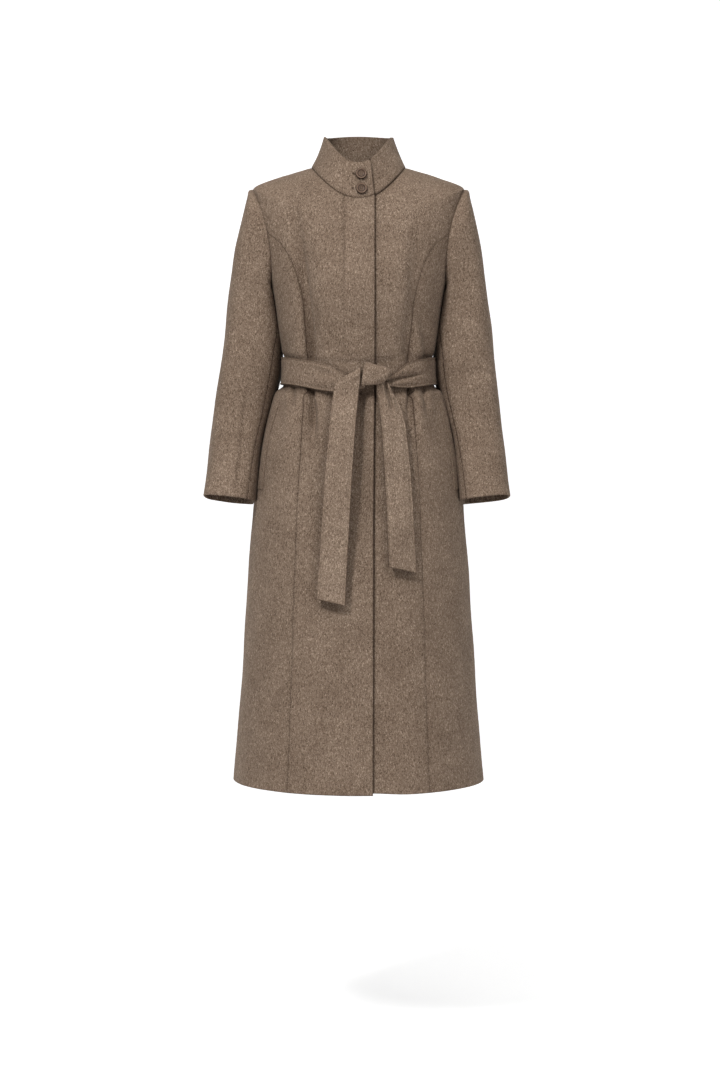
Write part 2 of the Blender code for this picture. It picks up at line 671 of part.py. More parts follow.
def belt_band(material, collection, columns=48, levels=2):
    """The belt round the waist, from behind the knot to behind the knot, lying on the coat."""
    waist = np.array(float(SECTION_ROW["waist"]))
    start, end = (float(angle_at_x(np.array(x), waist)) for x in BELT_ENDS_X)
    turn, across = np.meshgrid(np.linspace(start, 4 + end, columns + 1), np.linspace(-1, 1, levels + 1))
    x = girth(turn, np.full(turn.shape, waist))[..., 0]
    near_knot = ease(x, *BELT_TAPER_X["left"]) * (turn < 1) + ease(x, *BELT_TAPER_X["right"]) * (turn > 3)
    half = (BELT_EDGE_ROWS[1] - BELT_EDGE_ROWS[0]) / 2 * (1 - (1 - BELT_DRAWN_IN) * near_knot)
    return surface_wall(
        "belt_band",
        girth,
        turn,
        waist + half * across,
        BELT_CLOTH,
        True,
        material,
        collection,
        None,
        np.full(turn.shape, LAYER_GAP + BELT_CLOTH),
    )


def front_at(x, z):
    """The point of the front at a place in the front view, for what hangs on it."""
    row = row_at(z, x)
    return plain_body("front", angle_at_x(x, row), row)


def belt_tail(name, table, material, collection, columns=3, steps=14):
    """A hanging end of the belt: it follows the skirt below it and stands off at its cut end."""
    at = np.linspace(0, len(table) - 1, steps + 1)
    x, z, half_width, slant, lift = (column(table, TAIL_COLUMNS, size, at)[:, None] for size in TAIL_COLUMNS)
    across = np.linspace(-1.0, 1.0, columns + 1)[None, :]
    x = x + half_width * across
    z = z - slant * half_width * across
    back = front_at(x, z)
    out = np.array([0.0, -1.0, 0.0])
    inner = back + out * lift[..., None]
    outer = inner + out * BELT_CLOTH
    return cloth_wall(name, outer, inner, material, collection)


def belt_knot(material, collection, columns=8, levels=6):
    """The knot's wrap: a strip that goes over the crossing of the belt's ends."""
    at, across = np.meshgrid(np.linspace(0, len(KNOT) - 1, columns + 1), np.linspace(-1, 1, levels + 1))
    x, z, half_height, lift_top, lift_low, bulge = (
        column(KNOT, KNOT_COLUMNS, size, at) for size in KNOT_COLUMNS
    )
    lift = (lift_top + lift_low) / 2 + (lift_top - lift_low) / 2 * across
    lift = lift + bulge * np.sqrt(np.clip(1 - across**2, 0, 1))
    out = np.array([0.0, -1.0, 0.0])
    inner = front_at(x, z + half_height * across) + out * lift[..., None]
    outer = inner + out * BELT_CLOTH
    return cloth_wall("belt_knot", outer, inner, material, collection)


def pocket_welt(side, material, collection, columns=3, steps=4):
    """A narrow welt beside the side seam, sewn on the side front."""
    sign = -1.0 if side == "right" else 1.0
    angles = np.sort(sign * np.linspace(*WELT_ANGLES, columns + 1))
    angle, row = np.meshgrid(angles, np.linspace(*WELT_ROWS, steps + 1))
    return surface_wall(
        side + "_pocket_welt",
        lambda a, r: body("front", a, r),
        angle,
        row,
        WELT_CLOTH,
        True,
        material,
        collection,
        None,
        np.full(angle.shape, WELT_LIFT + WELT_CLOTH),
    )


def make_material(name, finish):
    material = bpy.data.materials.new(name)
    material.use_nodes = True
    shader = material.node_tree.nodes["Principled BSDF"]
    shader.inputs["Base Color"].default_value = (*finish["colour"], 1.0)
    shader.inputs["Roughness"].default_value = finish["roughness"]
    shader.inputs["Metallic"].default_value = 0.0
    return material


def main():
    for obj in list(bpy.data.objects):
        bpy.data.objects.remove(obj)
    coat = bpy.data.collections.new("belted_coat")
    bpy.context.scene.collection.children.link(coat)
    wool = make_material("wool_cloth", WOOL)
    horn = make_material("button_horn", HORN)
    for side in ("right", "left"):
        front_panel(side, wool, coat)
        side_front_panel(side, wool, coat)
        back_panel(side, wool, coat)
        for part in ("top", "under"):
            sleeve_panel(side, part, wool, coat)
        pocket_welt(side, wool, coat)
    stand_collar(wool, coat)
    for name, collar_height in BUTTON_HEIGHTS.items():
        button(name, collar_height, horn, coat)
    belt_band(wool, coat)
    belt_knot(wool, coat)
    belt_tail("belt_tail_right", RIGHT_TAIL, wool, coat)
    belt_tail("belt_tail_left", LEFT_TAIL, wool, coat)


main()
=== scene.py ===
"""The looks of a belted wool coat with a stand collar: cloth shells, sewing, buttons, light and camera.

Metres. +X is the wearer's left, -Y the front, +Z up. The origin lies on the neck's centre line, level with
the neck ends of the shoulder seams.
"""

import bpy
import numpy as np
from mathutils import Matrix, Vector


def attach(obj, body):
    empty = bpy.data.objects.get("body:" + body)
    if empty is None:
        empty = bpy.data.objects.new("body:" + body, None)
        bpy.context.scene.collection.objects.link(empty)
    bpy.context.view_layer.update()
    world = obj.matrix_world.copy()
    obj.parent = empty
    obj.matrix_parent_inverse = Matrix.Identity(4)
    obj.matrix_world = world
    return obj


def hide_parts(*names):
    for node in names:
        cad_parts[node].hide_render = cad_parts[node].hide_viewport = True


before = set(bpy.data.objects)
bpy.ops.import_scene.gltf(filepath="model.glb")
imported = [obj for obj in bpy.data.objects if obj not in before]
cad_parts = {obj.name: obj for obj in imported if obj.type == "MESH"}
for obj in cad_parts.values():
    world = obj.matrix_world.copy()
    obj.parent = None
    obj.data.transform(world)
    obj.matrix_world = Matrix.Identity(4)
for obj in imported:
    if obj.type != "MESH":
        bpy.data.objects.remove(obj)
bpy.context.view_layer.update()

# Centre fronts: two long panels of felted wool. The right one laps over the left one and hides the fastening
# behind a fly, whose stitching shows as a line beside the centre. Edges are turned under and pressed, and the
# belt draws folds into the cloth above and below it.

# One row for each girth line of the body, from the neck down: height at centre front, side and centre back,
# half width, and depth in front of and behind the origin.
BODY_COLUMNS = ("z_front", "z_side", "z_back", "half_width", "front", "back")
BODY_SECTIONS = np.array([
    (-0.0595, 0.0035, 0.012, 0.0830, 0.0980, 0.0720),
    (-0.070, -0.0135, -0.006, 0.1380, 0.1010, 0.0860),
    (-0.085, -0.0340, -0.034, 0.1850, 0.1050, 0.0990),
    (-0.104, -0.0565, -0.067, 0.1802, 0.1110, 0.1080),
    (-0.139, -0.1180, -0.123, 0.1688, 0.1240, 0.1160),
    (-0.184, -0.1795, -0.181, 0.1573, 0.1380, 0.1180),
    (-0.2075, -0.205, -0.206, 0.1525, 0.1410, 0.1170),
    (-0.242, -0.240, -0.240, 0.1460, 0.1385, 0.1125),
    (-0.288, -0.283, -0.284, 0.1390, 0.1275, 0.1035),
    (-0.333, -0.318, -0.315, 0.1335, 0.1175, 0.0955),
    (-0.344, -0.327, -0.322, 0.1305, 0.1135, 0.0915),
    (-0.370, -0.352, -0.347, 0.1295, 0.1135, 0.0915),
    (-0.396, -0.377, -0.372, 0.1325, 0.1125, 0.0905),
    (-0.406, -0.388, -0.383, 0.1455, 0.1160, 0.0960),
    (-0.436, -0.425, -0.422, 0.1575, 0.1295, 0.1160),
    (-0.505, -0.500, -0.499, 0.1745, 0.1475, 0.1390),
    (-0.630, -0.630, -0.630, 0.1885, 0.1650, 0.1580),
    (-0.800, -0.800, -0.800, 0.2000, 0.1780, 0.1720),
    (-0.950, -0.950, -0.950, 0.2105, 0.1880, 0.1810),
    (-1.073, -1.070, -1.070, 0.2205, 0.1970, 0.1890),
])
TIP_ROW, ARMPIT_ROW, WAIST_ROW, HEM_ROW = 2, 6, 11, 19
TIP = np.array((0.185, -0.034))  # x and z of the shoulder tip, and of the armpit
ARMPIT = np.array((0.1525, -0.205))
ARMHOLE_HALF_DEPTH = 0.062
ARMHOLE_INSET = 0.0115
ARMHOLE_TURN = 32.0  # degrees by which a section at mid armhole falls short of a quarter turn
SIDE_Y = 0.008
PRINCESS_SEAM = np.array([  # row, share of the half width
    (3.93, 1.000), (4.2, 0.860), (4.5, 0.789), (5.0, 0.727), (6.0, 0.685), (7.0, 0.676), (8.0, 0.674),
    (9.0, 0.678), (11.0, 0.683), (13.0, 0.640), (14.0, 0.608), (15.0, 0.576), (17.0, 0.560), (19.0, 0.549),
])
SIDE_PANEL_TOP = 3.94
CLOTH = 0.003
OVERLAP = 0.028  # the right front's edge passes the centre by this much at the neck, and by less at the hem
OVERLAP_AT_HEM = 0.0248
UNDER_DROP = 0.0058
UNDER_EASE = 0.085
UNDER_SHORTER = 0.004  # the under front's hem is this much higher, so that it stays hidden


def along_table(knots, values, at):
    """Values along a table, joined by cubics. The slope at a row is the harmonic mean of those beside it."""
    knots, values, at = (np.asarray(x, float) for x in (knots, values, at))
    step = np.diff(knots)
    slope = np.diff(values) / step
    tangent = np.zeros_like(values)
    steady = slope[:-1] * slope[1:] > 0
    safe = np.where(steady, slope[:-1] + slope[1:], 1.0)
    tangent[1:-1] = np.where(steady, 2 * slope[:-1] * slope[1:] / safe, 0.0)
    tangent[0], tangent[-1] = slope[0], slope[-1]
    span = np.clip(np.searchsorted(knots, at, side="right") - 1, 0, len(step) - 1)
    t = (at - knots[span]) / step[span]
    return (
        values[span] * (1 + 2 * t) * (1 - t) ** 2
        + tangent[span] * step[span] * t * (1 - t) ** 2
        + values[span + 1] * t * t * (3 - 2 * t)
        + tangent[span + 1] * step[span] * t * t * (t - 1)
    )


def ease(value, start, end):
    """0 before start and 1 after end, with a smooth cubic step between."""
    t = np.clip((value - start) / (end - start), 0.0, 1.0)
    return t * t * (3 - 2 * t)


def bell(distance, width):
    """A bell curve: 1 at no distance, and smaller by a factor of e at the given width."""
    return np.exp(-((distance / width) ** 2))


def body_size(name, row):
    """One measure of the body's girth lines at any row position."""
    return along_table(range(len(BODY_SECTIONS)), BODY_SECTIONS[:, BODY_COLUMNS.index(name)], row)


def armhole_angle(row):
    """Angle round the armhole: 0 at the shoulder tip, half a turn at the armpit."""
    return np.pi * np.clip((row - TIP_ROW) / (ARMPIT_ROW - TIP_ROW), 0.0, 1.0)


def section_turn(row):
    """Angle from the centre to the end of a section: a quarter turn, and less beside the armhole."""
    return np.radians(90.0 - ARMHOLE_TURN * np.sin(armhole_angle(row)) ** 2)


def body_edge(row, face):
    """End of a section as x, y, z: shoulder seam, then a tilted oval round the armhole, then side seam."""
    angle = armhole_angle(row)
    beside = (row > TIP_ROW) & (row < ARMPIT_ROW)
    middle, half = (TIP + ARMPIT) / 2, (TIP - ARMPIT) / 2
    oval_x = middle[0] + half[0] * np.cos(angle) - ARMHOLE_INSET * np.sin(angle) ** 2
    x = np.where(beside, oval_x, body_size("half_width", row))
    z = np.where(beside, middle[1] + half[1] * np.cos(angle), body_size("z_side", row))
    outward = -1.0 if face == "front" else 1.0
    return x, SIDE_Y + outward * ARMHOLE_HALF_DEPTH * np.where(beside, np.sin(angle), 0.0), z


def plain_body(face, angle, row):
    """Half an oval from side to side: x goes with the sine of the angle, depth with its cosine, height with x
    squared. angle runs from -1 at the right side to 1 at the left, 0 on the centre line."""
    x_edge, y_edge, z_edge = body_edge(row, face)
    turn = section_turn(row)
    depth = -body_size("front", row) if face == "front" else body_size("back", row)
    z_middle = body_size("z_" + face, row)
    across = np.sin(angle * turn) / np.sin(turn)
    forward = (np.cos(angle * turn) - np.cos(turn)) / (1 - np.cos(turn))
    y = y_edge + (depth - y_edge) * forward
    return np.stack([x_edge * across, y, z_middle + (z_edge - z_middle) * across**2], axis=-1)


def angle_at_x(x, row):
    """The front's angle parameter at a distance x from the centre front."""
    turn = section_turn(row)
    return np.arcsin(np.clip(x / body_edge(row, "front")[0] * np.sin(turn), -1.0, 1.0)) / turn


def princess_angle(row):
    """Where the princess seam crosses a row: at the armhole's edge above its start, on its curve below."""
    share = np.where(row < PRINCESS_SEAM[0, 0], 1.0, along_table(*PRINCESS_SEAM.T, row))
    return angle_at_x(share * body_edge(row, "front")[0], row)


# Folds as lines in the front or back view: x and z where each starts at the belt, x and z where it dies away,
# half width, and height, which is negative for a trough. Each fades in quickly and out slowly.
FOLDS = {
    "front": (
        (-0.112, -0.392, -0.128, -0.560, 0.013, 0.0045),
        (-0.084, -0.396, -0.080, -0.640, 0.016, -0.0060),
        (-0.048, -0.398, -0.040, -0.560, 0.015, 0.0030),
        (0.078, -0.396, 0.070, -0.620, 0.014, -0.0050),
        (0.106, -0.393, 0.124, -0.580, 0.014, 0.0045),
        (-0.0720, -0.356, -0.1130, 0.040, 0.0120, -0.0070),
        (0.080, -0.338, 0.086, -0.225, 0.012, -0.0035),
        (-0.108, -0.330, -0.122, -0.235, 0.014, 0.0035),
        (0.106, -0.330, 0.120, -0.240, 0.014, 0.0035),
        (-0.0825, -0.377, -0.081, -0.500, 0.0050, -0.0130),
        (-0.0945, -0.380, -0.099, -0.520, 0.0070, 0.0024),
        (-0.1135, -0.376, -0.1150, -0.435, 0.0040, -0.0050),
        (-0.1300, -0.374, -0.1420, -0.470, 0.0070, -0.0022),
        (-0.0370, -0.372, -0.0500, -0.880, 0.0220, -0.0180),
        (0.0030, -0.366, 0.0030, -0.800, 0.0160, -0.0200),
        (0.0890, -0.376, 0.0930, -0.500, 0.0046, -0.0090),
        (0.0985, -0.378, 0.1040, -0.480, 0.0060, 0.0022),
        (0.1135, -0.376, 0.1190, -0.450, 0.0042, -0.0056),
        (0.1320, -0.374, 0.1450, -0.480, 0.0070, -0.0022),
        (-0.0825, -0.358, -0.0880, -0.265, 0.0042, -0.0050),
        (-0.0800, -0.356, -0.1236, 0.040, 0.0055, -0.0100),
        (-0.0970, -0.350, -0.1060, -0.230, 0.0075, 0.0020),
        (-0.1220, -0.346, -0.1290, -0.270, 0.0050, -0.0022),
        (0.0870, -0.352, 0.0930, -0.290, 0.0046, -0.0034),
        (0.0860, -0.352, 0.1080, -0.020, 0.0095, -0.0050),
        (0.0990, -0.350, 0.1080, -0.240, 0.0070, 0.0020),
        (0.1200, -0.350, 0.0990, -0.190, 0.0065, -0.0060),
    ),
    "back": (
        (-0.090, -0.375, -0.118, -0.620, 0.016, 0.0060),
        (-0.050, -0.374, -0.060, -0.690, 0.015, -0.0095),
        (-0.012, -0.373, -0.014, -0.560, 0.014, 0.0050),
        (0.040, -0.374, 0.052, -0.670, 0.014, -0.0090),
        (0.086, -0.375, 0.110, -0.600, 0.016, 0.0050),
        (-0.060, -0.330, -0.074, -0.170, 0.012, -0.0070),
        (0.058, -0.330, 0.073, -0.190, 0.012, -0.0065),
        (-0.0510, -0.352, -0.0545, -0.500, 0.0048, -0.0085),
        (-0.1080, -0.352, -0.1220, -0.450, 0.0048, -0.0060),
        (0.0440, -0.352, 0.0480, -0.490, 0.0048, -0.0080),
        (0.1120, -0.352, 0.1240, -0.460, 0.0048, -0.0060),
        (0.0130, -0.352, 0.0140, -0.470, 0.0055, -0.0050),
        (-0.0610, -0.342, -0.0660, -0.250, 0.0048, -0.0060),
        (0.0600, -0.342, 0.0660, -0.260, 0.0048, -0.0060),
        (-0.0200, -0.336, -0.0220, -0.240, 0.0080, -0.0024),
        (0.0980, -0.336, 0.1080, -0.250, 0.0070, 0.0022),
        (-0.1000, -0.336, -0.1090, -0.250, 0.0070, 0.0022),
        (-0.1400, -0.130, -0.1000, -0.200, 0.0120, -0.0026),
        (0.1400, -0.130, 0.1000, -0.205, 0.0120, -0.0026),
    ),
}
FOLD_SHADE = 0.14
FOLD_WIDENS = 0.8


def fold_height(face, points, shade=False):
    """Sum of soft ridges and troughs: each is a bell curve across its line, wider towards its end. With
    shade, the painted shade of the troughs instead, in proportion to their depth over their width."""
    x, z = points[..., 0], points[..., 2]
    lift = np.zeros_like(x)
    for x_top, z_top, x_end, z_end, width, height in FOLDS[face]:
        along = (z - z_top) / (z_end - z_top)
        there = np.clip(along, 0.0, 1.0)
        window = ease(along, 0.0, 0.10) * (1 - ease(along, 0.35, 1.0))
        off_line = x - x_top - (x_end - x_top) * there
        size = FOLD_SHADE * max(-height, 0.0) / width if shade else height
        lift += size * window * bell(off_line, width * (1 + FOLD_WIDENS * there))
    return lift


def unevenness(points, height=0.0006):
    """Slow waves of cloth that was never pressed quite flat: five sines along slanted directions."""
    waves = np.array([  # turns per metre along x, y and z, and phase
        (5.1, 2.3, 3.7, 0.4), (-7.9, 3.1, 4.9, 1.9), (11.3, 6.1, -2.9, 3.3), (3.3, -9.7, 7.3, 5.0),
        (-14.9, 8.3, 5.9, 0.9),
    ])
    return height * np.sin(2 * np.pi * (points @ waves[:, :3].T) + waves[:, 3]).sum(axis=-1) / 2


def grid_normals(points, sign):
    """Unit normals of a grid of points: the cross product of its slopes along columns and rows."""
    normal = sign * np.cross(np.gradient(points, axis=1), np.gradient(points, axis=0))
    return normal / np.maximum(np.linalg.norm(normal, axis=-1, keepdims=True), 1e-12)


def runs(points, axis):
    """Distance along the cloth from the first and from the last line of a grid."""
    steps = np.linalg.norm(np.diff(points, axis=axis), axis=-1)
    run = np.cumsum(steps, axis=axis)
    run = np.concatenate([np.zeros_like(np.take(run, [0], axis=axis)), run], axis=axis)
    return run, np.take(run, [-1], axis=axis) - run


SEAM_ROLL = 0.0008
EDGE_STEPS = np.array([0.0, 0.0003, 0.0007, 0.0013, 0.0021, 0.0034])


def edge_spacing(length, step):
    """Shares from 0 to 1 along each length: close together at both ends, where cloth rolls under, and even
    between them."""
    length = np.atleast_1d(length)[:, None]
    near = EDGE_STEPS * np.minimum(1.0, 0.3 * length / EDGE_STEPS[-1]) / length
    even = np.linspace(0.0, 1.0, int(length.max() / step) + 1)[1:-1]
    first = near[:, -1:]
    return np.concatenate([near, first + (1 - 2 * first) * even, 1 - near[:, ::-1]], axis=1)


def rolled(distance, radius):
    """Drop of a rounded edge: a quarter circle of the given radius, nothing further in."""
    return radius * (1 - np.sqrt(1 - np.clip(1 - distance / radius, 0.0, 1.0) ** 2))


def make_piece(name, points, quads, material, painted_shade=None):
    """A mesh piece from its points and quads, with the shade of each point where it is given."""
    mesh = bpy.data.meshes.new(name)
    mesh.from_pydata(points.reshape(-1, 3).tolist(), [], quads.tolist())
    mesh.shade_smooth()
    if painted_shade is not None:
        shade = mesh.attributes.new("painted_shade", "FLOAT", "POINT")
        shade.data.foreach_set("value", painted_shade.astype(np.float32))
    mesh.materials.append(material)
    piece = bpy.data.objects.new(name, mesh)
    bpy.context.scene.collection.objects.link(piece)
    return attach(piece, "root")


def grid_quads(rows, columns):
    """Numbers of a grid's points, row by row, and the quads between neighbouring points."""
    index = np.arange(rows * columns).reshape(rows, columns)
    corners = [index[:-1, :-1], index[:-1, 1:], index[1:, 1:], index[1:, :-1]]
    return index, np.stack(corners, axis=-1).reshape(-1, 4)


PUCKER = 0.00022  # height of the small waves that stitches draw into the cloth
PUCKER_REACH = 0.006
SEAM_DIP = 0.0004
SEAM_DIP_REACH = 0.004
SEAM_LINE, SEAM_SHADOW, EDGE_LINE = 0.0010, 0.005, 0.0013  # half widths of the shades at seams and edges
HIP = (0.42, 0.60)  # depths between which seams lose part of their shade


def cloth_shell(name, face, sign, material, thickness=CLOTH, roll=0.0014, seams="lrtb", puckers="lr",
                edge_shade=0.35, seam_shade=0.45, hollow_shade=0.0):
    """One layer of cloth: its face, an inner side one thickness below, and a rounded rim. Sides named in
    seams dip towards the seam, and those in puckers are drawn into small waves by the stitches. Its painted
    shade, kept for each point, sums bell curves of shadow along edges and in seams, weaker below the hip,
    and the painted shade of hollows."""
    across, from_right = runs(face, 1)
    down, from_bottom = runs(face, 0)
    sides = {"l": across, "r": from_right, "t": down, "b": from_bottom}
    outward = grid_normals(face, sign)
    for side in puckers:
        line = down if side in "lr" else across
        wave = np.sin(line / 0.0019 + 2.1 * np.sin(line / 0.013)) * np.sin(line / 0.0071 + 0.7)
        face = face + outward * (PUCKER * wave * np.exp(-sides[side] / PUCKER_REACH))[..., None]
    dip = sum((SEAM_DIP * bell(sides[side], SEAM_DIP_REACH) for side in seams), np.zeros(face.shape[:2]))
    edge_drop = np.max([rolled(sides[s], SEAM_ROLL if s in seams else roll) for s in sides], axis=0)
    outer = face - outward * (edge_drop + dip)[..., None]
    inner = face - outward * (thickness + dip - 0.6 * edge_drop)[..., None]
    far = np.ones(face.shape[:2])
    to_seam = np.min([far] + [sides[s] for s in seams], axis=0)
    to_edge = np.min([far] + [sides[s] for s in sides if s not in seams], axis=0)
    # Painted shade: a dark line in each seam with a softer shadow beside it, and a dark line along free
    # edges.
    painted_seam_shade = seam_shade * bell(to_seam, SEAM_LINE) + 0.20 * bell(to_seam, SEAM_SHADOW)
    painted_shade = edge_shade * bell(to_edge, EDGE_LINE) + hollow_shade
    painted_shade = np.clip(painted_shade + painted_seam_shade * (1 - 0.4 * ease(-face[..., 2], *HIP)), 0.0, 1.0)
    index, skin = grid_quads(*face.shape[:2])
    path = np.concatenate([index[0], index[1:, -1], index[-1, -2::-1], index[-2:0:-1, 0]])
    after = np.roll(path, -1)
    rim = np.stack([after, path, path + index.size, after + index.size], axis=-1)
    quads = np.concatenate([skin, skin[:, ::-1] + index.size, rim])
    points = np.concatenate([outer.reshape(-1, 3), inner.reshape(-1, 3)])
    facing_out = quads[:, ::-1] if sign < 0 else quads
    piece = make_piece(name, points, facing_out, material, np.tile(painted_shade.ravel(), 2))
    return piece, outer, outward


def linear(colour):
    """An sRGB hex colour as linear RGBA."""
    srgb = np.array([int(colour[k : k + 2], 16) for k in (1, 3, 5)]) / 255
    return (*np.where(srgb <= 0.04045, srgb / 12.92, ((srgb + 0.055) / 1.055) ** 2.4), 1.0)


def add_node(tree, kind, settings, inputs):
    """Adds a node, sets its settings, and gives each input a value or a link."""
    node = tree.nodes.new(kind)
    for name, value in settings.items():
        setattr(node, name, value)
    for name, value in inputs.items():
        if isinstance(value, bpy.types.NodeSocket):
            tree.links.new(value, node.inputs[name])
        else:
            node.inputs[name].default_value = value
    return node


def blank_material(name):
    """A new material, its node tree, its shader, and the socket that gives the piece's own coordinates."""
    material = bpy.data.materials.new(name)
    material.use_nodes = True
    tree = material.node_tree
    place = add_node(tree, "ShaderNodeTexCoord", {}, {})
    return material, tree, tree.nodes["Principled BSDF"], place.outputs["Object"]


HAIR_SIZE = (0.0014, 0.0019, 0.0036)
MOTTLE_SIZE = 0.0024
CLOUD_SIZE = 0.05


def felted_wool(name, tone_shift=0.0):
    """Melange wool coating, woven, milled and raised. The eye sees short light and dark hairs lying every
    way, soft mottling, and a faint bloom at the turned-away edges. Hairs are drawn coarser than real ones,
    so that they show. A tone shift makes the whole cloth lighter."""
    material, tree, shader, place = blank_material(name)
    hairs = []
    for turn, shift in ((0.7, 0.0), (-0.8, 3.7)):
        lie = add_node(tree, "ShaderNodeMapping", {}, {
            "Vector": place, "Location": (shift, shift, 0.0), "Rotation": (0.0, turn, turn / 2),
            "Scale": tuple(1 / size for size in HAIR_SIZE),
        })
        hair = add_node(tree, "ShaderNodeTexNoise", {}, {
            "Vector": lie.outputs["Vector"], "Scale": 1.0, "Detail": 1.0, "Roughness": 0.5, "Distortion": 1.4,
        })
        hairs.append(hair.outputs["Fac"])
    mottle = add_node(tree, "ShaderNodeTexNoise", {}, {
        "Vector": place, "Scale": 1 / MOTTLE_SIZE, "Detail": 3.0, "Roughness": 0.65,
    })
    cloud = add_node(tree, "ShaderNodeTexNoise", {}, {
        "Vector": place, "Scale": 1 / CLOUD_SIZE, "Detail": 2.0, "Roughness": 0.5,
    })
    both = add_node(tree, "ShaderNodeMath", {"operation": "ADD"}, {0: hairs[0], 1: hairs[1]})
    nap = add_node(tree, "ShaderNodeMath", {"operation": "MULTIPLY_ADD"}, {
        0: mottle.outputs["Fac"], 1: 0.5, 2: both.outputs[0],
    })
    tone = add_node(tree, "ShaderNodeMath", {"operation": "MULTIPLY_ADD"}, {
        0: cloud.outputs["Fac"], 1: 0.22, 2: nap.outputs[0],
    })
    spread = add_node(tree, "ShaderNodeMapRange", {}, {
        "Value": tone.outputs[0], "From Min": 1.035 - tone_shift, "From Max": 1.685 - tone_shift,
    })
    ramp = add_node(tree, "ShaderNodeValToRGB", {}, {"Fac": spread.outputs["Result"]})
    stops = ((0.0, "#493c31"), (0.33, "#69584a"), (0.55, "#786657"), (0.8, "#8c7a6a"), (1.0, "#a89583"))
    for _ in stops[2:]:
        ramp.color_ramp.elements.new(0.5)
    for element, (at, colour) in zip(ramp.color_ramp.elements, stops):
        element.position = at
        element.color = linear(colour)
    # Painted shade: the point attribute darkens the cloth towards #7d7067 in seams, along edges, under the
    # belt, beside laps and in folds.
    seam = add_node(tree, "ShaderNodeAttribute", {"attribute_name": "painted_shade"}, {})
    shade = add_node(tree, "ShaderNodeMix", {"data_type": "RGBA", "blend_type": "MULTIPLY"}, {
        0: seam.outputs["Fac"], 6: ramp.outputs["Color"], 7: linear("#7d7067"),
    })
    tree.links.new(shade.outputs[2], shader.inputs["Base Color"])
    bump = add_node(tree, "ShaderNodeBump", {}, {
        "Height": nap.outputs[0], "Strength": 0.45, "Distance": 0.0008,
    })
    tree.links.new(bump.outputs["Normal"], shader.inputs["Normal"])
    rough = add_node(tree, "ShaderNodeMapRange", {}, {
        "Value": mottle.outputs["Fac"], "To Min": 0.86, "To Max": 1.0,
    })
    tree.links.new(rough.outputs["Result"], shader.inputs["Roughness"])
    shader.inputs["Specular IOR Level"].default_value = 0.12
    shader.inputs["Sheen Weight"].default_value = 0.12
    shader.inputs["Sheen Roughness"].default_value = 0.45
    shader.inputs["Sheen Tint"].default_value = linear("#d8c8b6")
    return material


SMOOTHINGS = 90
ROW_SPACING = 1.12  # rows of a panel's grid stand this much further apart than its columns
FRONT_STEP = 0.0031


def panel_grid(face, first_row, ends, step, drop=None):
    """A panel of the body from its first row to the hem, between two angles given as functions of the row.
    The cloth is eased over the armpit's level, each point drawn towards the mean of those above and below.
    drop(points) lowers it where it passes below another panel."""
    dense = np.linspace(first_row, HEM_ROW, 1200)
    start, end = ends(dense)
    middle = plain_body(face, (start + end) / 2, dense)
    length = runs(middle[:, None], 0)[0].ravel()
    rows = np.interp(edge_spacing(length[-1], ROW_SPACING * step)[0] * length[-1], length, dense)
    start, end = ends(rows)
    coarse = np.linspace(0.0, 1.0, 40)
    ribs = plain_body(face, start[:, None] + (end - start)[:, None] * coarse, rows[:, None] + 0 * coarse)
    share = edge_spacing(runs(ribs, 1)[0][:, -1], step)
    angle = start[:, None] + (end - start)[:, None] * share
    plain = plain_body(face, angle, np.repeat(rows[:, None], share.shape[1], axis=1))
    sign = -1.0 if face == "front" else 1.0
    to_side = (1 - np.abs(angle)) * 1.35 * body_edge(rows, face)[0][:, None]
    soft = ease(to_side, 0.004, 0.030) * bell(rows - ARMPIT_ROW, 0.8)[:, None]
    for _ in range(SMOOTHINGS):
        plain[1:-1] += 0.5 * soft[1:-1, :, None] * ((plain[:-2] + plain[2:]) / 2 - plain[1:-1])
    calm = 1 - (1 - ease(to_side, 0.0, 0.022)) * (1 - ease(rows, ARMPIT_ROW, ARMPIT_ROW + 1))[:, None]
    lift = (fold_height(face, plain) + unevenness(plain)) * calm * ease(rows, 0.0, 0.6)[:, None]
    if drop:
        lift = lift - drop(plain)
    return plain + grid_normals(plain, sign) * lift[..., None], sign


BELT_LOW_EDGE = {"front": (-0.3945, -0.377), "back": (-0.372, -0.377)}  # height at the centre and the side
BELT_SHADE, BELT_SHADOW = 0.5, 0.008


def under_belt(face, points):
    """Shade of the hollow below the belt, full behind it and a bell curve downwards from its lower edge, and
    of the folds."""
    centre, side = BELT_LOW_EDGE[face]
    share = points[..., 0] / body_size("half_width", WAIST_ROW)
    below = centre + (side - centre) * share**2 - points[..., 2]
    shade = BELT_SHADE * bell(np.maximum(below, 0.0), BELT_SHADOW) * ease(below, -0.03, -0.02)
    return shade + fold_height(face, points, shade=True)


def lap(row):
    """The angle of the front edge: straight, and a little nearer the centre towards the hem."""
    return angle_at_x(OVERLAP + (OVERLAP_AT_HEM - OVERLAP) * ease(row, WAIST_ROW, HEM_ROW), row)


def under_right_front(points):
    """How far the left front lies below: all of it under the lap, and less and less away from the centre."""
    x, z = points[..., 0], points[..., 2]
    below_belt = ease(-z, 0.375, 0.42) * (1 - ease(-z, 0.45, 0.95))
    return (UNDER_DROP + 0.0035 * below_belt) * (1 - ease(x, OVERLAP + 0.006, UNDER_EASE))


wool = felted_wool("felted_wool_melange")
FLY_X = -0.0249
FLY_END_Z = -0.330
FLY_DENT, FLY_DENT_WIDTH = 0.0011, 0.0022
FLY_SHADE, FLY_SHADE_WIDTH = 0.30, 0.0030
LAP_SHADE, LAP_SHADE_WIDTH = 0.85, 0.0024


def fly_line(points):
    """The dent along the fly's stitching, shallower further down."""
    x, z = points[..., 0], points[..., 2]
    return FLY_DENT * bell(x - FLY_X, FLY_DENT_WIDTH) * (1 - 0.8 * ease(-z, 0.10, -FLY_END_Z))


def right_front_ends(row):
    """From the princess seam to the lapped edge."""
    return -princess_angle(row), lap(row)


def left_front_ends(row):
    """From the edge under the lap to the princess seam."""
    return -angle_at_x(OVERLAP, row), princess_angle(row)


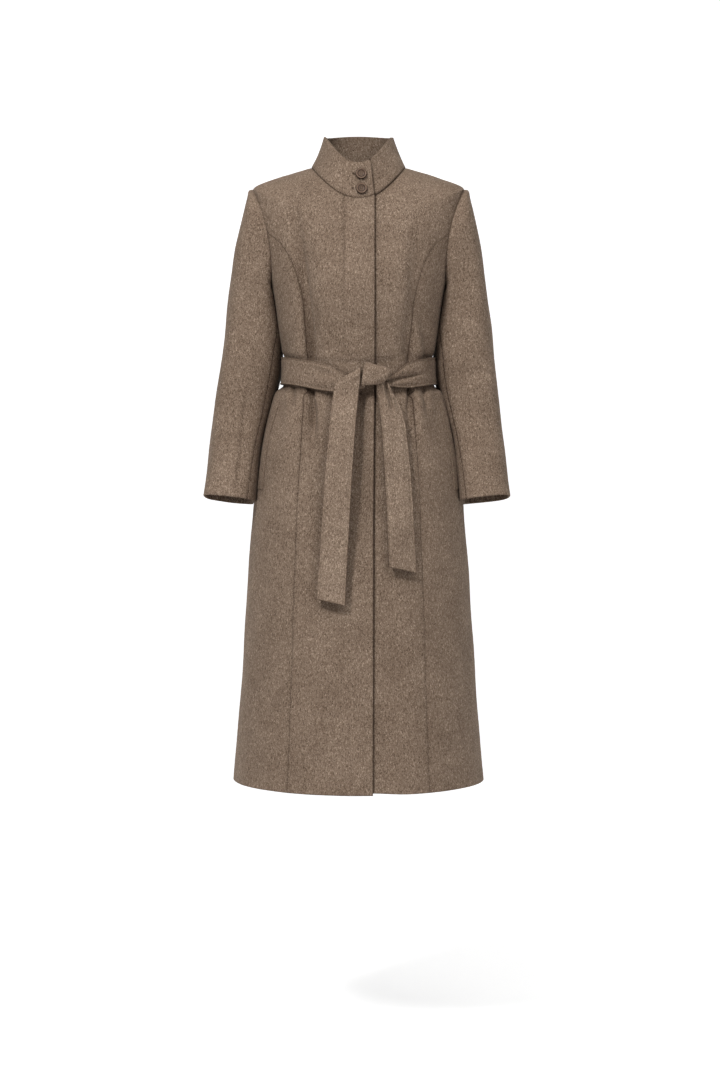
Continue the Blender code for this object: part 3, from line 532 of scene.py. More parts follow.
right_grid, right_sign = panel_grid("front", 0.0, right_front_ends, FRONT_STEP, fly_line)
# Painted shade along the fly's stitching line, fading out further down.
fly_fade = 1 - ease(-right_grid[..., 2], 0.10, 0.30)
along_fly = FLY_SHADE * bell(right_grid[..., 0] - FLY_X, FLY_SHADE_WIDTH) * fly_fade
right_front, right_front_face, right_front_out = cloth_shell(
    "right_front_cloth", right_grid, right_sign, wool, seams="lt", puckers="l", edge_shade=0.6,
    hollow_shade=under_belt("front", right_grid) + along_fly,
)
left_grid, left_sign = panel_grid("front", 0.0, left_front_ends, FRONT_STEP, under_right_front)
near_lap = 1 - ease(left_grid[..., 0], 0.01, 0.10)
left_grid[..., 2] += UNDER_SHORTER * ease(-left_grid[..., 2], 0.90, 1.07) * near_lap
# Painted shadow that the lapped edge casts on the left front, from the neck to the hem.
edge_x = np.interp(-left_grid[..., 2], -right_front_face[:, -1, 2], right_front_face[:, -1, 0])
beside_lap = LAP_SHADE * bell(left_grid[..., 0] - edge_x, LAP_SHADE_WIDTH)
left_front, _, _ = cloth_shell(
    "left_front_cloth", left_grid, left_sign, wool, seams="rt", puckers="r",
    hollow_shade=beside_lap + under_belt("front", left_grid),
)
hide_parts("right_front")
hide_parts("left_front")


TWIST_SIZE = 0.0012


def spun_thread(name, dark, light):
    """Polyester thread, spun and twisted: a fine line of two close tones with a slight gloss."""
    material, tree, shader, place = blank_material(name)
    twist = add_node(tree, "ShaderNodeTexNoise", {}, {
        "Vector": place, "Scale": 1 / TWIST_SIZE, "Detail": 2.0, "Roughness": 0.6,
    })
    ramp = add_node(tree, "ShaderNodeValToRGB", {}, {"Fac": twist.outputs["Fac"]})
    for element, at, colour in zip(ramp.color_ramp.elements, (0.3, 0.7), (dark, light)):
        element.position = at
        element.color = linear(colour)
    tree.links.new(ramp.outputs["Color"], shader.inputs["Base Color"])
    shader.inputs["Roughness"].default_value = 0.55
    shader.inputs["Specular IOR Level"].default_value = 0.2
    return material


def stitches(name, starts, ends, outward, radius, arch, material):
    """Threads from starts to ends: each a six-sided tube that rises by half a sine between its needle holes
    and is thinner at both ends."""
    along = np.array([0.0, 0.18, 0.5, 0.82, 1.0])
    turn = np.linspace(0, 2 * np.pi, 7)[:-1]
    direction = ends - starts
    side = np.cross(outward, direction)
    side /= np.linalg.norm(side, axis=-1, keepdims=True)
    up = np.cross(direction, side)
    up /= np.linalg.norm(up, axis=-1, keepdims=True)
    swell = np.sin(np.pi * along)
    rise = up[:, None] * (arch * swell - 0.4 * radius)[:, None]
    centre = starts[:, None] + direction[:, None] * along[:, None] + rise
    thick = (radius * (0.5 + 0.5 * np.sqrt(swell)))[None, :, None, None]
    ring = side[:, None, None] * np.cos(turn)[:, None] + up[:, None, None] * np.sin(turn)[:, None]
    points = centre[:, :, None] + thick * ring
    count, levels, round_it = points.shape[:3]
    index = np.arange(count * levels * round_it).reshape(count, levels, round_it)
    onward = np.roll(index, -1, axis=2)
    walls = np.stack([index[:, :-1], onward[:, :-1], onward[:, 1:], index[:, 1:]], axis=-1).reshape(-1, 4)
    first, last = index[:, 0], index[:, -1]
    caps = [first[:, [3, 2, 1, 0]], first[:, [0, 5, 4, 3]], last[:, [0, 1, 2, 3]], last[:, [3, 4, 5, 0]]]
    quads = np.concatenate([walls, *caps])
    return make_piece(name, points, quads, material)


def stitch_row(line, outward, length, gap):
    """Starts, ends and normals of even stitches along a line of points."""
    run = runs(line[:, None], 0)[0].ravel()
    begin = np.arange(0.0, run[-1] - length, length + gap)

    def found(values, at):
        return np.stack([np.interp(at, run, values[:, k]) for k in range(3)], axis=-1)

    return found(line, begin), found(line, begin + length), found(outward, begin + length / 2)


def column_near(face, x):
    """For each row of a panel, the column whose point lies nearest to x."""
    return np.argmin(np.abs(face[..., 0] - x), axis=1)


STITCH, STITCH_GAP = 0.0030, 0.0010
THREAD_RADIUS, STITCH_ARCH = 0.00034, 0.0002
thread = spun_thread("spun_polyester_thread", "#5c4c3f", "#7a6858")
rows = np.arange(len(right_front_face))
at_fly = column_near(right_front_face, FLY_X)
fly = right_front_face[rows, at_fly]
on_fly = (fly[:, 2] > FLY_END_Z) & (rows > 5)
fly[:, 0] = FLY_X
fly_row = stitch_row(fly[on_fly], right_front_out[rows, at_fly][on_fly], STITCH, STITCH_GAP)
fly_stitching = stitches("fly_stitching", *fly_row, THREAD_RADIUS, STITCH_ARCH, thread)

# Bar tack: a short dense bar of polyester thread at the fly's edge below the collar. It is sewn to and fro
# across the edge, so that the fly doesn't tear open.
TACK_Z = -0.0765
TACK_HALF = 0.0028
TACK_ARM = 0.0011
TACK_COUNT = 9
TACK_COLUMN = -5  # of the right front's grid, just inside its edge
edge_row = np.argmin(np.abs(right_front_face[:, -1, 2] - TACK_Z))
tack_out = right_front_out[edge_row, TACK_COLUMN]
tack_z = np.linspace(-TACK_HALF, TACK_HALF, TACK_COUNT)[:, None] * np.array([0.0, 0.0, 1.0])
tack_at = right_front_face[edge_row, TACK_COLUMN] + tack_z
tack_side = np.array([TACK_ARM, 0.0, 0.0])
bar_tack = stitches(
    "fly_bar_tack", tack_at - tack_side, tack_at + tack_side, np.repeat(tack_out[None], TACK_COUNT, axis=0),
    0.00035, 0.0003, thread,
)

# Side fronts: narrow panels of the same wool between the princess seam and the side seam, wider towards the
# hem, which shape the bust and the flare. Their point is sewn into the armhole.
SIDES = (("right", -1.0), ("left", 1.0))
for side, sign in SIDES:

    def between_seams(row, sign=sign):
        """From the princess seam to the side seam, the smaller angle first."""
        near, far = sign * princess_angle(row), sign * np.ones_like(row)
        return (near, far) if sign > 0 else (far, near)

    grid, facing = panel_grid("front", SIDE_PANEL_TOP, between_seams, FRONT_STEP)
    piece, _, _ = cloth_shell(
        side + "_side_front_cloth", grid, facing, wool, seams="lr", hollow_shade=under_belt("front", grid)
    )
    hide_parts(side + "_side_front")

# Backs: two halves of the same wool, joined by the centre back seam and shaped in at the waist. The shoulder,
# armhole and side seams are at their outer edge.
BACK_STEP = 0.0042
for side, sign in SIDES:

    def half_back(row, sign=sign):
        """From the centre to the side, the smaller angle first."""
        return (0 * row, 1 + 0 * row) if sign > 0 else (0 * row - 1, 0 * row)

    grid, facing = panel_grid("back", 0.0, half_back, BACK_STEP)
    piece, _, _ = cloth_shell(
        side + "_back_cloth", grid, facing, wool, seams="lrt", hollow_shade=under_belt("back", grid)
    )
    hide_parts(side + "_back")

# Pocket welts: a narrow folded strip of wool on each side front, half hidden by the sleeve. It is sewn down
# round its edge.
WELT_ANGLES = (0.73, 0.82)
WELT_ROWS = (13.5, 15.5)
WELT_WIDTH, WELT_LENGTH = 0.022, 0.145
WELT_CLOTH = 0.0012
WELT_LIFT = 0.0003
for side, sign in SIDES:
    ends = np.sort(sign * np.array(WELT_ANGLES))
    down = np.interp(edge_spacing(WELT_LENGTH, 0.003)[0], (0, 1), WELT_ROWS)
    over = np.interp(edge_spacing(WELT_WIDTH, 0.002)[0], (0, 1), ends)
    angle, row = np.meshgrid(over, down)
    plain = plain_body("front", angle, row)
    lift = fold_height("front", plain) + unevenness(plain) + WELT_LIFT + WELT_CLOTH
    piece, _, _ = cloth_shell(
        side + "_pocket_welt_cloth", plain + grid_normals(plain, -1.0) * lift[..., None], -1.0, wool,
        thickness=WELT_CLOTH, roll=0.0004, seams="", puckers="", edge_shade=0.1,
    )
    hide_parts(side + "_pocket_welt")

# Sleeves: wool, set in and cut in two pieces, with a slight bend at the elbow. The top sleeve is eased into
# the armhole, which raises a soft roll at the shoulder. Cuffs are plain turned edges.
SLEEVE_SECTIONS = np.array([
    # outer end in front view (x, z), inner end (x, z), middle y, half depth, cuff tilt, degrees of front seam
    (TIP[0], TIP[1], ARMPIT[0], ARMPIT[1], SIDE_Y, ARMHOLE_HALF_DEPTH, 0.0, 157.5),
    (0.1925, -0.0380, 0.1508, -0.2075, 0.0090, 0.0640, 0.0, 156.0),
    (0.1990, -0.0600, 0.1510, -0.2130, 0.0110, 0.0670, 0.0, 154.0),
    (0.2095, -0.1080, 0.1450, -0.2260, 0.0150, 0.0700, 0.0, 150.0),
    (0.2185, -0.1550, 0.1400, -0.2450, 0.0200, 0.0720, 0.0, 145.0),
    (0.2300, -0.2350, 0.1320, -0.2900, 0.0240, 0.0715, 0.0, 136.0),
    (0.2415, -0.3300, 0.1350, -0.3450, 0.0200, 0.0690, 0.0, 129.0),
    (0.2530, -0.4200, 0.1510, -0.4200, 0.0150, 0.0640, -0.02, 131.0),
    (0.2625, -0.5000, 0.1690, -0.5000, -0.0030, 0.0590, -0.06, 131.0),
    (0.2700, -0.5715, 0.1765, -0.5820, -0.0230, 0.0560, -0.12, 129.0),
])
CUFF_ROW = len(SLEEVE_SECTIONS) - 1
HIND_SLEEVE_SEAM = -112.5
INNER_LINE_BACK = 0.018  # the sleeve's inner line lies this much further back, behind the coat's side
ALLOWANCE, ALLOWANCE_DROP = 0.005, 0.0025  # width and depth of the cloth turned in at the armhole
CUFF_SHIFT = {"left": -0.005, "right": 0.001}
# Folds of a sleeve, as lines in the front view: x and z of both ends, half width, height
SLEEVE_FOLDS = {
    "right": (
        (-0.205, -0.300, -0.160, -0.330, 0.010, -0.0016), (-0.236, -0.345, -0.178, -0.372, 0.009, -0.0014),
        (-0.215, -0.330, -0.170, -0.352, 0.008, 0.0012), (-0.185, -0.150, -0.168, -0.260, 0.012, -0.0022),
        (-0.240, -0.420, -0.205, -0.455, 0.012, -0.0012), (-0.200, -0.120, -0.205, -0.240, 0.016, 0.0012),
        (-0.222, -0.470, -0.228, -0.570, 0.014, 0.0010),
    ),
    "left": (
        (0.203, -0.290, 0.160, -0.322, 0.010, -0.0016), (0.232, -0.352, 0.176, -0.366, 0.009, -0.0013),
        (0.214, -0.322, 0.168, -0.345, 0.008, 0.0012), (0.184, -0.145, 0.167, -0.255, 0.012, -0.0022),
        (0.238, -0.405, 0.204, -0.446, 0.012, -0.0012), (0.202, -0.130, 0.206, -0.250, 0.016, 0.0012),
        (0.214, -0.480, 0.220, -0.570, 0.014, 0.0010),
    ),
}
PRESSED_LINE = ((-0.1965, -0.388), (-0.2055, -0.488), (-0.2130, -0.562))  # faint line down the right sleeve
PRESSED_DEPTH, PRESSED_WIDTH = 0.0014, 0.0028
PRESSED_SHADE, PRESSED_SHADE_WIDTH = 0.30, 0.0032
HIND_FOLDS_LOWER, HIND_FOLDS_DEEPER = 0.03, 1.2  # folds on a sleeve's back against those on its front
HEAD_ROLL, HEAD_ROLL_AT = 0.0022, 0.0060  # height of the roll at the shoulder, and its distance from the seam
INNER_SHADE = 0.6  # on the side that lies against the coat
SLEEVE_STEP = 0.0036
SLEEVE_RADIUS = 0.058  # of the tube on average, for the spacing of its columns
SLEEVE_PARTS = {"top": 22.0, "under": 190.0}  # degrees of the line down the middle of each piece


def side_half_width(y, z):
    """The coat's half width at a depth and height below the armpit."""
    rows = np.linspace(ARMPIT_ROW, HEM_ROW, 400)
    row = np.interp(-z, -body_size("z_side", rows), rows)
    depth = np.where(y < SIDE_Y, -body_size("front", row), body_size("back", row))
    share = np.clip((y - SIDE_Y) / (depth - SIDE_Y), -1.0, 1.0)
    return np.where(z < ARMPIT[1], body_size("half_width", row) * np.sqrt(1 - share**2), 0.0)


def plain_sleeve(side, angle, row):
    """A tube of slightly squared ovals that lies along the coat's side. angle is 0 on its outer line and a
    quarter turn at its front."""
    outer_x, outer_z, inner_x, inner_z, mid_y, half_depth, tilt, _ = (
        along_table(range(len(SLEEVE_SECTIONS)), size, row) for size in SLEEVE_SECTIONS.T
    )
    inset = ARMHOLE_INSET * (1 - ease(row, 0.0, 2.0))
    fuller = 0.2 * ease(row, 0.0, 2.0)
    outward = np.cos(angle) * (1 + fuller * np.sin(angle) ** 2)
    y = mid_y - half_depth * np.sin(angle) * (1 + fuller * np.cos(angle) ** 2)
    x = (outer_x + inner_x) / 2 + (outer_x - inner_x) / 2 * outward - inset * np.sin(angle) ** 2
    x = x + CUFF_SHIFT[side] * ease(row, 3.0, CUFF_ROW)
    z = (outer_z + inner_z) / 2 + (outer_z - inner_z) / 2 * outward + tilt * (y - mid_y)
    inner_side = ((1 - np.cos(angle)) / 2) ** 2
    y = y + INNER_LINE_BACK * inner_side * ease(row, 1.0, 4.0) * (1 - ease(row, 6.5, 8.5))
    clear = side_half_width(y, z) + 0.0004 - 0.0018 * (1 - ease(-z, 0.22, 0.27))
    beside = (x + clear + np.sqrt((x - clear) ** 2 + 0.0015**2)) / 2
    x = x + (beside - x) * ease(row, 0.0, 1.0)
    return np.stack([x if side == "left" else -x, y, z], axis=-1)


def creases(table, x, z):
    """Sum of bell-shaped ridges and troughs along straight lines that fade in and out at both ends."""
    lift = np.zeros_like(x)
    for x0, z0, x1, z1, width, height in table:
        length = np.hypot(x1 - x0, z1 - z0)
        along = ((x - x0) * (x1 - x0) + (z - z0) * (z1 - z0)) / length**2
        off_line = ((x - x0) * (z1 - z0) - (z - z0) * (x1 - x0)) / length
        window = ease(along, -0.1, 0.25) * (1 - ease(along, 0.7, 1.1))
        lift += height * window * bell(off_line, width)
    return lift


def pressed_line(points, width):
    """A bell curve across the pressed line in the front view, fading at both ends."""
    x, z = points[..., 0], points[..., 2]
    line_x = np.interp(-z, [-p[1] for p in PRESSED_LINE], [p[0] for p in PRESSED_LINE])
    fade = ease(-z, 0.37, 0.41) * (1 - ease(-z, 0.545, 0.565))
    return bell(x - line_x, width) * fade


def sleeve_detail(side, points, angle, from_armhole):
    """Folds on the sleeve's front, similar ones lower down on its back, the roll at the shoulder, and slow
    waves."""
    x, z = points[..., 0], points[..., 2]
    front = ease(np.sin(angle), 0.0, 0.35)
    hind = ease(-np.sin(angle), 0.0, 0.35)
    folds = SLEEVE_FOLDS[side]
    hind_folds = creases(folds, x, z + HIND_FOLDS_LOWER) * HIND_FOLDS_DEEPER
    lift = creases(folds, x, z) * front + hind_folds * hind
    if side == "right":
        lift -= PRESSED_DEPTH * pressed_line(points, PRESSED_WIDTH) * front
    head = HEAD_ROLL * bell(from_armhole - HEAD_ROLL_AT, HEAD_ROLL_AT) * ease(np.cos(angle), -0.3, 0.8)
    lift = (lift + unevenness(points, 0.0009)) * ease(from_armhole, 0.0, 0.012)
    return lift + head * ease(from_armhole, 0.0, 0.005)


for side, sign in SIDES:
    dense = np.linspace(0.0, CUFF_ROW, 800)
    for part, middle in SLEEVE_PARTS.items():
        middle_line = plain_sleeve(side, np.full(dense.shape, np.radians(middle)), dense)
        length = runs(middle_line[:, None], 0)[0].ravel()
        rows = np.interp(edge_spacing(length[-1], SLEEVE_STEP)[0] * length[-1], length, dense)
        seam = along_table(range(len(SLEEVE_SECTIONS)), SLEEVE_SECTIONS[:, -1], rows)
        hind = np.full(rows.shape, HIND_SLEEVE_SEAM)
        start, end = (hind, seam) if part == "top" else (seam, hind + 360)
        share = edge_spacing(np.radians(end - start) * SLEEVE_RADIUS, SLEEVE_STEP)
        angle = np.radians(start[:, None] + (end - start)[:, None] * share)
        row = np.repeat(rows[:, None], share.shape[1], axis=1)
        plain = plain_sleeve(side, angle, row)
        normal = grid_normals(plain, sign)
        face = plain + normal * sleeve_detail(side, plain, angle, runs(plain, 0)[0])[..., None]
        turned_in = face[:1] - normal[:1] * ALLOWANCE_DROP - np.array([sign * ALLOWANCE, 0.0, 0.0])
        # Painted shade where the sleeve turns towards the coat, weaker below the hip, and along the right
        # sleeve's pressed line.
        shade = INNER_SHADE * ease(-np.cos(angle), 0.62, 0.97) * (1 - 0.5 * ease(-face[..., 2], 0.42, 0.56))
        if side == "right":
            pressed = PRESSED_SHADE * pressed_line(face, PRESSED_SHADE_WIDTH)
            shade = shade + pressed * ease(np.sin(angle), 0.0, 0.35)
        piece, _, _ = cloth_shell(
            f"{side}_{part}_sleeve_cloth", np.concatenate([turned_in, face]), sign, wool, seams="lr",
            seam_shade=0.85, hollow_shade=np.concatenate([shade[:1], shade]),
        )
        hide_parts(f"{side}_{part}_sleeve")

# Stand collar: two layers of wool turned together along the top edge and sewn into the neckline. Its right
# end laps over the left one and has rounded top corners.
COLLAR_TOP = {
    "z_front": 0.0030, "z_side": 0.058, "z_back": 0.066, "half_width": 0.0605, "front": 0.0855, "back": 0.060,
}
COLLAR_GIRTH, COLLAR_HEIGHT = 0.52, 0.064
COLLAR_QUARTER = 0.112  # length of a quarter of it
COLLAR_CORNER, CORNER_DROP = 0.007, 0.085  # radius of the corners, and the share of the height they take
DOUBLED_ROLL = 0.0016  # radius at the edge of doubled cloth
COLLAR_CLOTH = 0.004
COLLAR_FLARE = 0.07
COLLAR_FOOT = -0.04  # share of its height that is turned in below the neckline
FOOT_DROP, FOOT_SHADE = 0.0016, 0.6
OVER_LIFT = 0.0007  # the upper end stands off the lower one by this much more
END_SHADE, END_SHADE_WIDTH = 0.9, 0.0028


def girth(turn, row):
    """A ring round the coat: 0 centre front, 1 left side, 2 centre back, 3 right side, 4 centre front."""
    front = plain_body("front", np.where(turn > 2, turn - 4, turn), row)
    on_back = (turn > 1) & (turn < 3)
    return np.where(on_back[..., None], plain_body("back", 2 - turn, row), front)


def plain_collar(turn, height):
    """A band from the neckline to a smaller oval: straight upwards, drawn in a little faster near its seam.
    turn counts quarters of the ring."""
    on_back = (turn > 1) & (turn < 3)
    quarter = np.where(on_back, 2 - turn, np.where(turn > 2, turn - 4, turn))
    base = girth(turn, np.zeros_like(turn))
    depth = np.where(on_back, COLLAR_TOP["back"], -COLLAR_TOP["front"])
    z_middle = np.where(on_back, COLLAR_TOP["z_back"], COLLAR_TOP["z_front"])
    sine, cosine = np.sin(quarter * np.pi / 2), np.cos(quarter * np.pi / 2)
    top = np.stack([
        COLLAR_TOP["half_width"] * sine,
        SIDE_Y + (depth - SIDE_Y) * cosine,
        z_middle + (COLLAR_TOP["z_side"] - z_middle) * sine**2,
    ], axis=-1)
    inward = height + COLLAR_FLARE * np.sin(np.pi * np.clip(height, 0, 1))
    return base + (top - base) * np.stack([inward, inward, height], axis=-1)


lap_turn = float(angle_at_x(np.array(OVERLAP), np.array(0.0)))
turn, height = np.meshgrid(
    -lap_turn + (4 + 2 * lap_turn) * edge_spacing(COLLAR_GIRTH, 0.003)[0],
    COLLAR_FOOT + (1 - COLLAR_FOOT) * edge_spacing(COLLAR_HEIGHT, 0.0026)[0],
)
to_end = np.minimum(turn + lap_turn, 4 + lap_turn - turn) * COLLAR_QUARTER
corner = np.clip(1 - to_end / COLLAR_CORNER, 0, 1)
height = height * (1 - CORNER_DROP * (1 - np.sqrt(1 - corner**2)))
plain = plain_collar(turn, height)
below = np.where(turn < 1, 1 - ease(plain[..., 0], OVERLAP + 0.006, UNDER_EASE), 0.0)
lift = unevenness(plain, 0.0007) * ease(height, 0.0, 0.3) - (COLLAR_CLOTH + 0.001) * below
lift = lift - FOOT_DROP * (1 - ease(height, COLLAR_FOOT, 0.02))
over = np.where(turn > 3, OVER_LIFT, 0.0)
lift += over * ease(plain[..., 0], -0.01, OVERLAP) * ease(height, 0.04, 0.20)
# Painted shade: a dark line along the neckline seam, and a shadow on the under end beside the lapped end.
from_end = plain[..., 0] - plain[:, -1:, 0]
beside_end = np.where(turn < 1, END_SHADE * bell(from_end, END_SHADE_WIDTH), 0.0)
stand_collar, _, _ = cloth_shell(
    "stand_collar_cloth", plain + grid_normals(plain, 1.0) * lift[..., None], 1.0, wool,
    thickness=COLLAR_CLOTH, roll=DOUBLED_ROLL, seams="t", puckers="",
    hollow_shade=FOOT_SHADE * bell(height, 0.02) * (1 - 0.6 * below) + beside_end,
)
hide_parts("stand_collar")

# Collar buttons: turned horn with a raised rim, a dished face and four holes, sewn on with crossed threads.
# Each has a corded buttonhole in the lapped end of the collar.
BUTTON_RADIUS = 0.010
BUTTON_X = 0.0055
BUTTON_HEIGHTS = {"collar_button_upper": 0.66, "collar_button_lower": 0.245}
BUTTON_SEAT = 0.0012
HOLE_OFFSET = 0.0021 * 0.7071  # each hole lies 2.1 mm from the centre, on a diagonal
HOLE_RADIUS, HOLE_DEPTH = 0.00085, 0.0017
HORN_LAYERS = (0.012, 0.006, 0.0022)


def turned_horn():
    """Polished brown horn: layers along the plate, a soft gloss, and painted shade in the turned groove, at
    the outer edge and on the dished face."""
    material, tree, shader, place = blank_material("turned_horn")
    lie = add_node(tree, "ShaderNodeMapping", {}, {
        "Vector": place, "Rotation": (0.0, 0.5, 0.0), "Scale": tuple(1 / size for size in HORN_LAYERS),
    })
    layers = add_node(tree, "ShaderNodeTexNoise", {}, {
        "Vector": lie.outputs["Vector"], "Scale": 1.0, "Detail": 4.0, "Roughness": 0.6, "Distortion": 0.8,
    })
    ramp = add_node(tree, "ShaderNodeValToRGB", {}, {"Fac": layers.outputs["Fac"]})
    for element, at, colour in zip(ramp.color_ramp.elements, (0.3, 0.72), ("#574437", "#7f6857")):
        element.position = at
        element.color = linear(colour)
    # Painted shade from the point attribute darkens the horn towards #54463b.
    groove = add_node(tree, "ShaderNodeAttribute", {"attribute_name": "painted_shade"}, {})
    shade = add_node(tree, "ShaderNodeMix", {"data_type": "RGBA", "blend_type": "MULTIPLY"}, {
        0: groove.outputs["Fac"], 6: ramp.outputs["Color"], 7: linear("#54463b"),
    })
    tree.links.new(shade.outputs[2], shader.inputs["Base Color"])
    shader.inputs["Roughness"].default_value = 0.42
    shader.inputs["IOR"].default_value = 1.54
    shader.inputs["Specular IOR Level"].default_value = 0.15
    return material


BUTTON_PROFILE = np.array([  # share of the radius, height: across the face, over the rim, and under
    (0.0, 0.0024), (0.05, 0.0024), (0.10, 0.0024), (0.13, 0.0024), (0.16, 0.0024), (0.19, 0.0024),
    (0.22, 0.0024), (0.25, 0.0024), (0.28, 0.0024), (0.31, 0.0024), (0.36, 0.00242), (0.44, 0.0025),
    (0.50, 0.0027), (0.53, 0.0031), (0.57, 0.0030), (0.60, 0.0027), (0.66, 0.0029), (0.74, 0.0036),
    (0.82, 0.0038), (0.90, 0.0036), (0.96, 0.0031), (1.0, 0.0021), (0.985, 0.0011), (0.93, 0.0004),
    (0.80, 0.0), (0.4, 0.0), (0.0, 0.0),
])
FACE_LEVELS = 16  # rows of the profile that may be pierced
GROOVE_AT, GROOVE_WIDTH = 0.57, 0.09  # shares of the radius


def button_surface(seat, axes):
    """The profile carried round a full circle, sunk where the four holes are. The painted shade is a bell
    curve about the groove, a step at the outer edge and a weaker one on the dished face."""
    angle = np.linspace(0, 2 * np.pi, 97)[:-1]
    radius, height = (BUTTON_PROFILE[:, k][:, None] + 0 * angle for k in (0, 1))
    across, up = BUTTON_RADIUS * radius * np.cos(angle), BUTTON_RADIUS * radius * np.sin(angle)
    to_hole = np.hypot(np.abs(across) - HOLE_OFFSET, np.abs(up) - HOLE_OFFSET)
    on_face = np.arange(len(BUTTON_PROFILE))[:, None] < FACE_LEVELS
    height = height - HOLE_DEPTH * (1 - ease(to_hole, 0.7 * HOLE_RADIUS, 1.15 * HOLE_RADIUS)) * on_face
    points = seat + across[..., None] * axes[0] + up[..., None] * axes[1] + height[..., None] * axes[2]
    index = np.arange(points.size // 3).reshape(points.shape[:2])
    onward = np.roll(index, -1, axis=1)
    quads = np.stack([index[:-1], index[1:], onward[1:], onward[:-1]], axis=-1).reshape(-1, 4)
    shade = 0.95 * bell(radius - GROOVE_AT, GROOVE_WIDTH) + ease(radius, 0.86, 0.95)
    shade = shade + 0.3 * (1 - ease(radius, 0.40, 0.52))
    return points.reshape(-1, 3), quads, np.clip(shade, 0.0, 1.0).ravel()


THREAD_APART = np.array([[0.0002], [-0.0002]] * 2)
SLIT_HALF, SLIT_OPEN = 0.0105, 0.0007  # half length and half width of a buttonhole
SLIT_SHIFT = 0.045  # quarters of the ring from the button to the middle of its hole
SLIT_CORD, SLIT_LIFT, SLIT_ARCH = 0.0010, 0.0006, 0.0004
COLLAR_FRONT_HEIGHT = 0.062
SEWN_LEVEL = 0.0021  # of the threads above the seat
BUTTON_THREAD_RADIUS, BUTTON_THREAD_ARCH = 0.0003, 0.0009
SLIT_STITCHES = 59
horn = turned_horn()
buttonhole_twist = spun_thread("buttonhole_twist", "#36271c", "#4b392b")
for name, share in BUTTON_HEIGHTS.items():
    turn = 4 + float(angle_at_x(np.array(BUTTON_X), np.array(0.0)))
    patch = plain_collar(turn + np.array([[-1e-3, 1e-3]] * 2), share + np.array([[-1e-3] * 2, [1e-3] * 2]))
    out = grid_normals(patch, 1.0)[0, 0]
    right = np.cross([0.0, 0.0, 1.0], out)
    right /= np.linalg.norm(right)
    axes = np.array([right, np.cross(out, right), out])
    seat = patch.mean(axis=(0, 1)) + out * BUTTON_SEAT
    points, quads, shade = button_surface(seat, axes)
    piece = make_piece(name + "_horn", points, quads, horn, shade)
    weld = piece.modifiers.new("closed_poles", "WELD")
    weld.merge_threshold = 1e-6
    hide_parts(name)
    corners = np.array([(-1, -1), (1, 1), (-1, 1), (1, -1)]) * HOLE_OFFSET
    holes = seat + corners @ axes[:2] + out * SEWN_LEVEL
    beside = axes[0] * THREAD_APART
    stitches(
        name + "_thread", holes[[0, 0, 2, 2]] + beside, holes[[1, 1, 3, 3]] + beside,
        np.repeat(out[None], 4, axis=0), BUTTON_THREAD_RADIUS, BUTTON_THREAD_ARCH, thread,
    )
    around = np.linspace(0, 2 * np.pi, SLIT_STITCHES + 1)[:-1] + 0.05
    slit_across = SLIT_HALF * np.sign(np.cos(around)) * np.abs(np.cos(around)) ** 0.25
    slit_turn = turn - SLIT_SHIFT + slit_across / COLLAR_QUARTER
    slit_height = share + SLIT_OPEN * np.sin(around) / COLLAR_FRONT_HEIGHT
    edge = plain_collar(slit_turn, slit_height) + out * SLIT_LIFT
    away = np.stack([0 * around, np.sign(np.sin(around)) * SLIT_CORD], axis=-1) @ axes[:2]
    stitches(
        name.replace("button", "buttonhole") + "_stitching", edge - away * 0.1, edge + away,
        np.repeat(out[None], SLIT_STITCHES, axis=0), THREAD_RADIUS, SLIT_ARCH, buttonhole_twist,
    )

# Tie belt: a long strip of wool folded double and stitched along both edges. The band goes round the waist
# over the coat and is drawn together into the knot.
BELT_WIDTH = 0.050
BELT_CLOTH = 0.004
BELT_LIFT = 0.002
BELT_EDGE_SHADE = 0.75
BELT_EDGE_ROWS = (10.03, 11.97)
BELT_ENDS_X = (0.046, 0.012)
BELT_STITCH_INSET = 0.0042
BELT_STITCH_GAP, BELT_THREAD_RADIUS = 0.0011, 0.00026
BAND_DENT, BAND_DENT_WIDTH = 0.0011, 0.0016  # where the stitches draw the cloth in
BAND_LENGTH = 0.86
BAND_REACH = 0.135  # from the centre front to where the band is even
WAIST_ROW_HEIGHT = 0.026  # between neighbouring girth lines at the belt
# Rise of the band's top and bottom edge against its line round the waist, along x in the front view
BAND_TOP = np.array([
    (-BAND_REACH, 0.0), (-0.100, 0.0045), (-0.054, -0.0015), (-0.030, -0.0125), (-0.010, -0.0170),
    (0.020, -0.019), (0.046, -0.0215), (0.058, -0.0190), (0.070, -0.0105), (0.086, -0.0020), (0.105, 0.0015),
    (BAND_REACH, 0.0),
])
BAND_BOTTOM = np.array([
    (-BAND_REACH, 0.0), (-0.100, 0.0050), (-0.043, 0.0030), (-0.010, 0.0065), (0.020, 0.012),
    (0.046, 0.0115), (0.070, 0.0070), (0.090, 0.0035), (0.112, 0.002), (BAND_REACH, 0.0),
])
BAND_FOLDS = (  # x and z of both ends, half width, height
    (0.040, -0.3755, 0.108, -0.3580, 0.0024, -0.0060), (0.040, -0.368, 0.098, -0.349, 0.0055, 0.0024),
    (0.040, -0.381, 0.096, -0.372, 0.0040, 0.0026), (0.050, -0.362, 0.078, -0.349, 0.0028, -0.0012),
    (-0.020, -0.366, -0.088, -0.352, 0.0070, -0.0016), (-0.020, -0.374, -0.095, -0.372, 0.0080, 0.0012),
    (-0.030, -0.362, -0.070, -0.345, 0.0040, 0.0012), (-0.024, -0.385, -0.075, -0.384, 0.0035, -0.0010),
)
waist = np.array(float(WAIST_ROW))
start, end = (float(angle_at_x(np.array(x), waist)) for x in BELT_ENDS_X)
turn, across = np.meshgrid(
    start + (4 + end - start) * edge_spacing(BAND_LENGTH, 0.003)[0],
    1 - 2 * edge_spacing(BELT_WIDTH, 0.0016)[0][::-1],
)
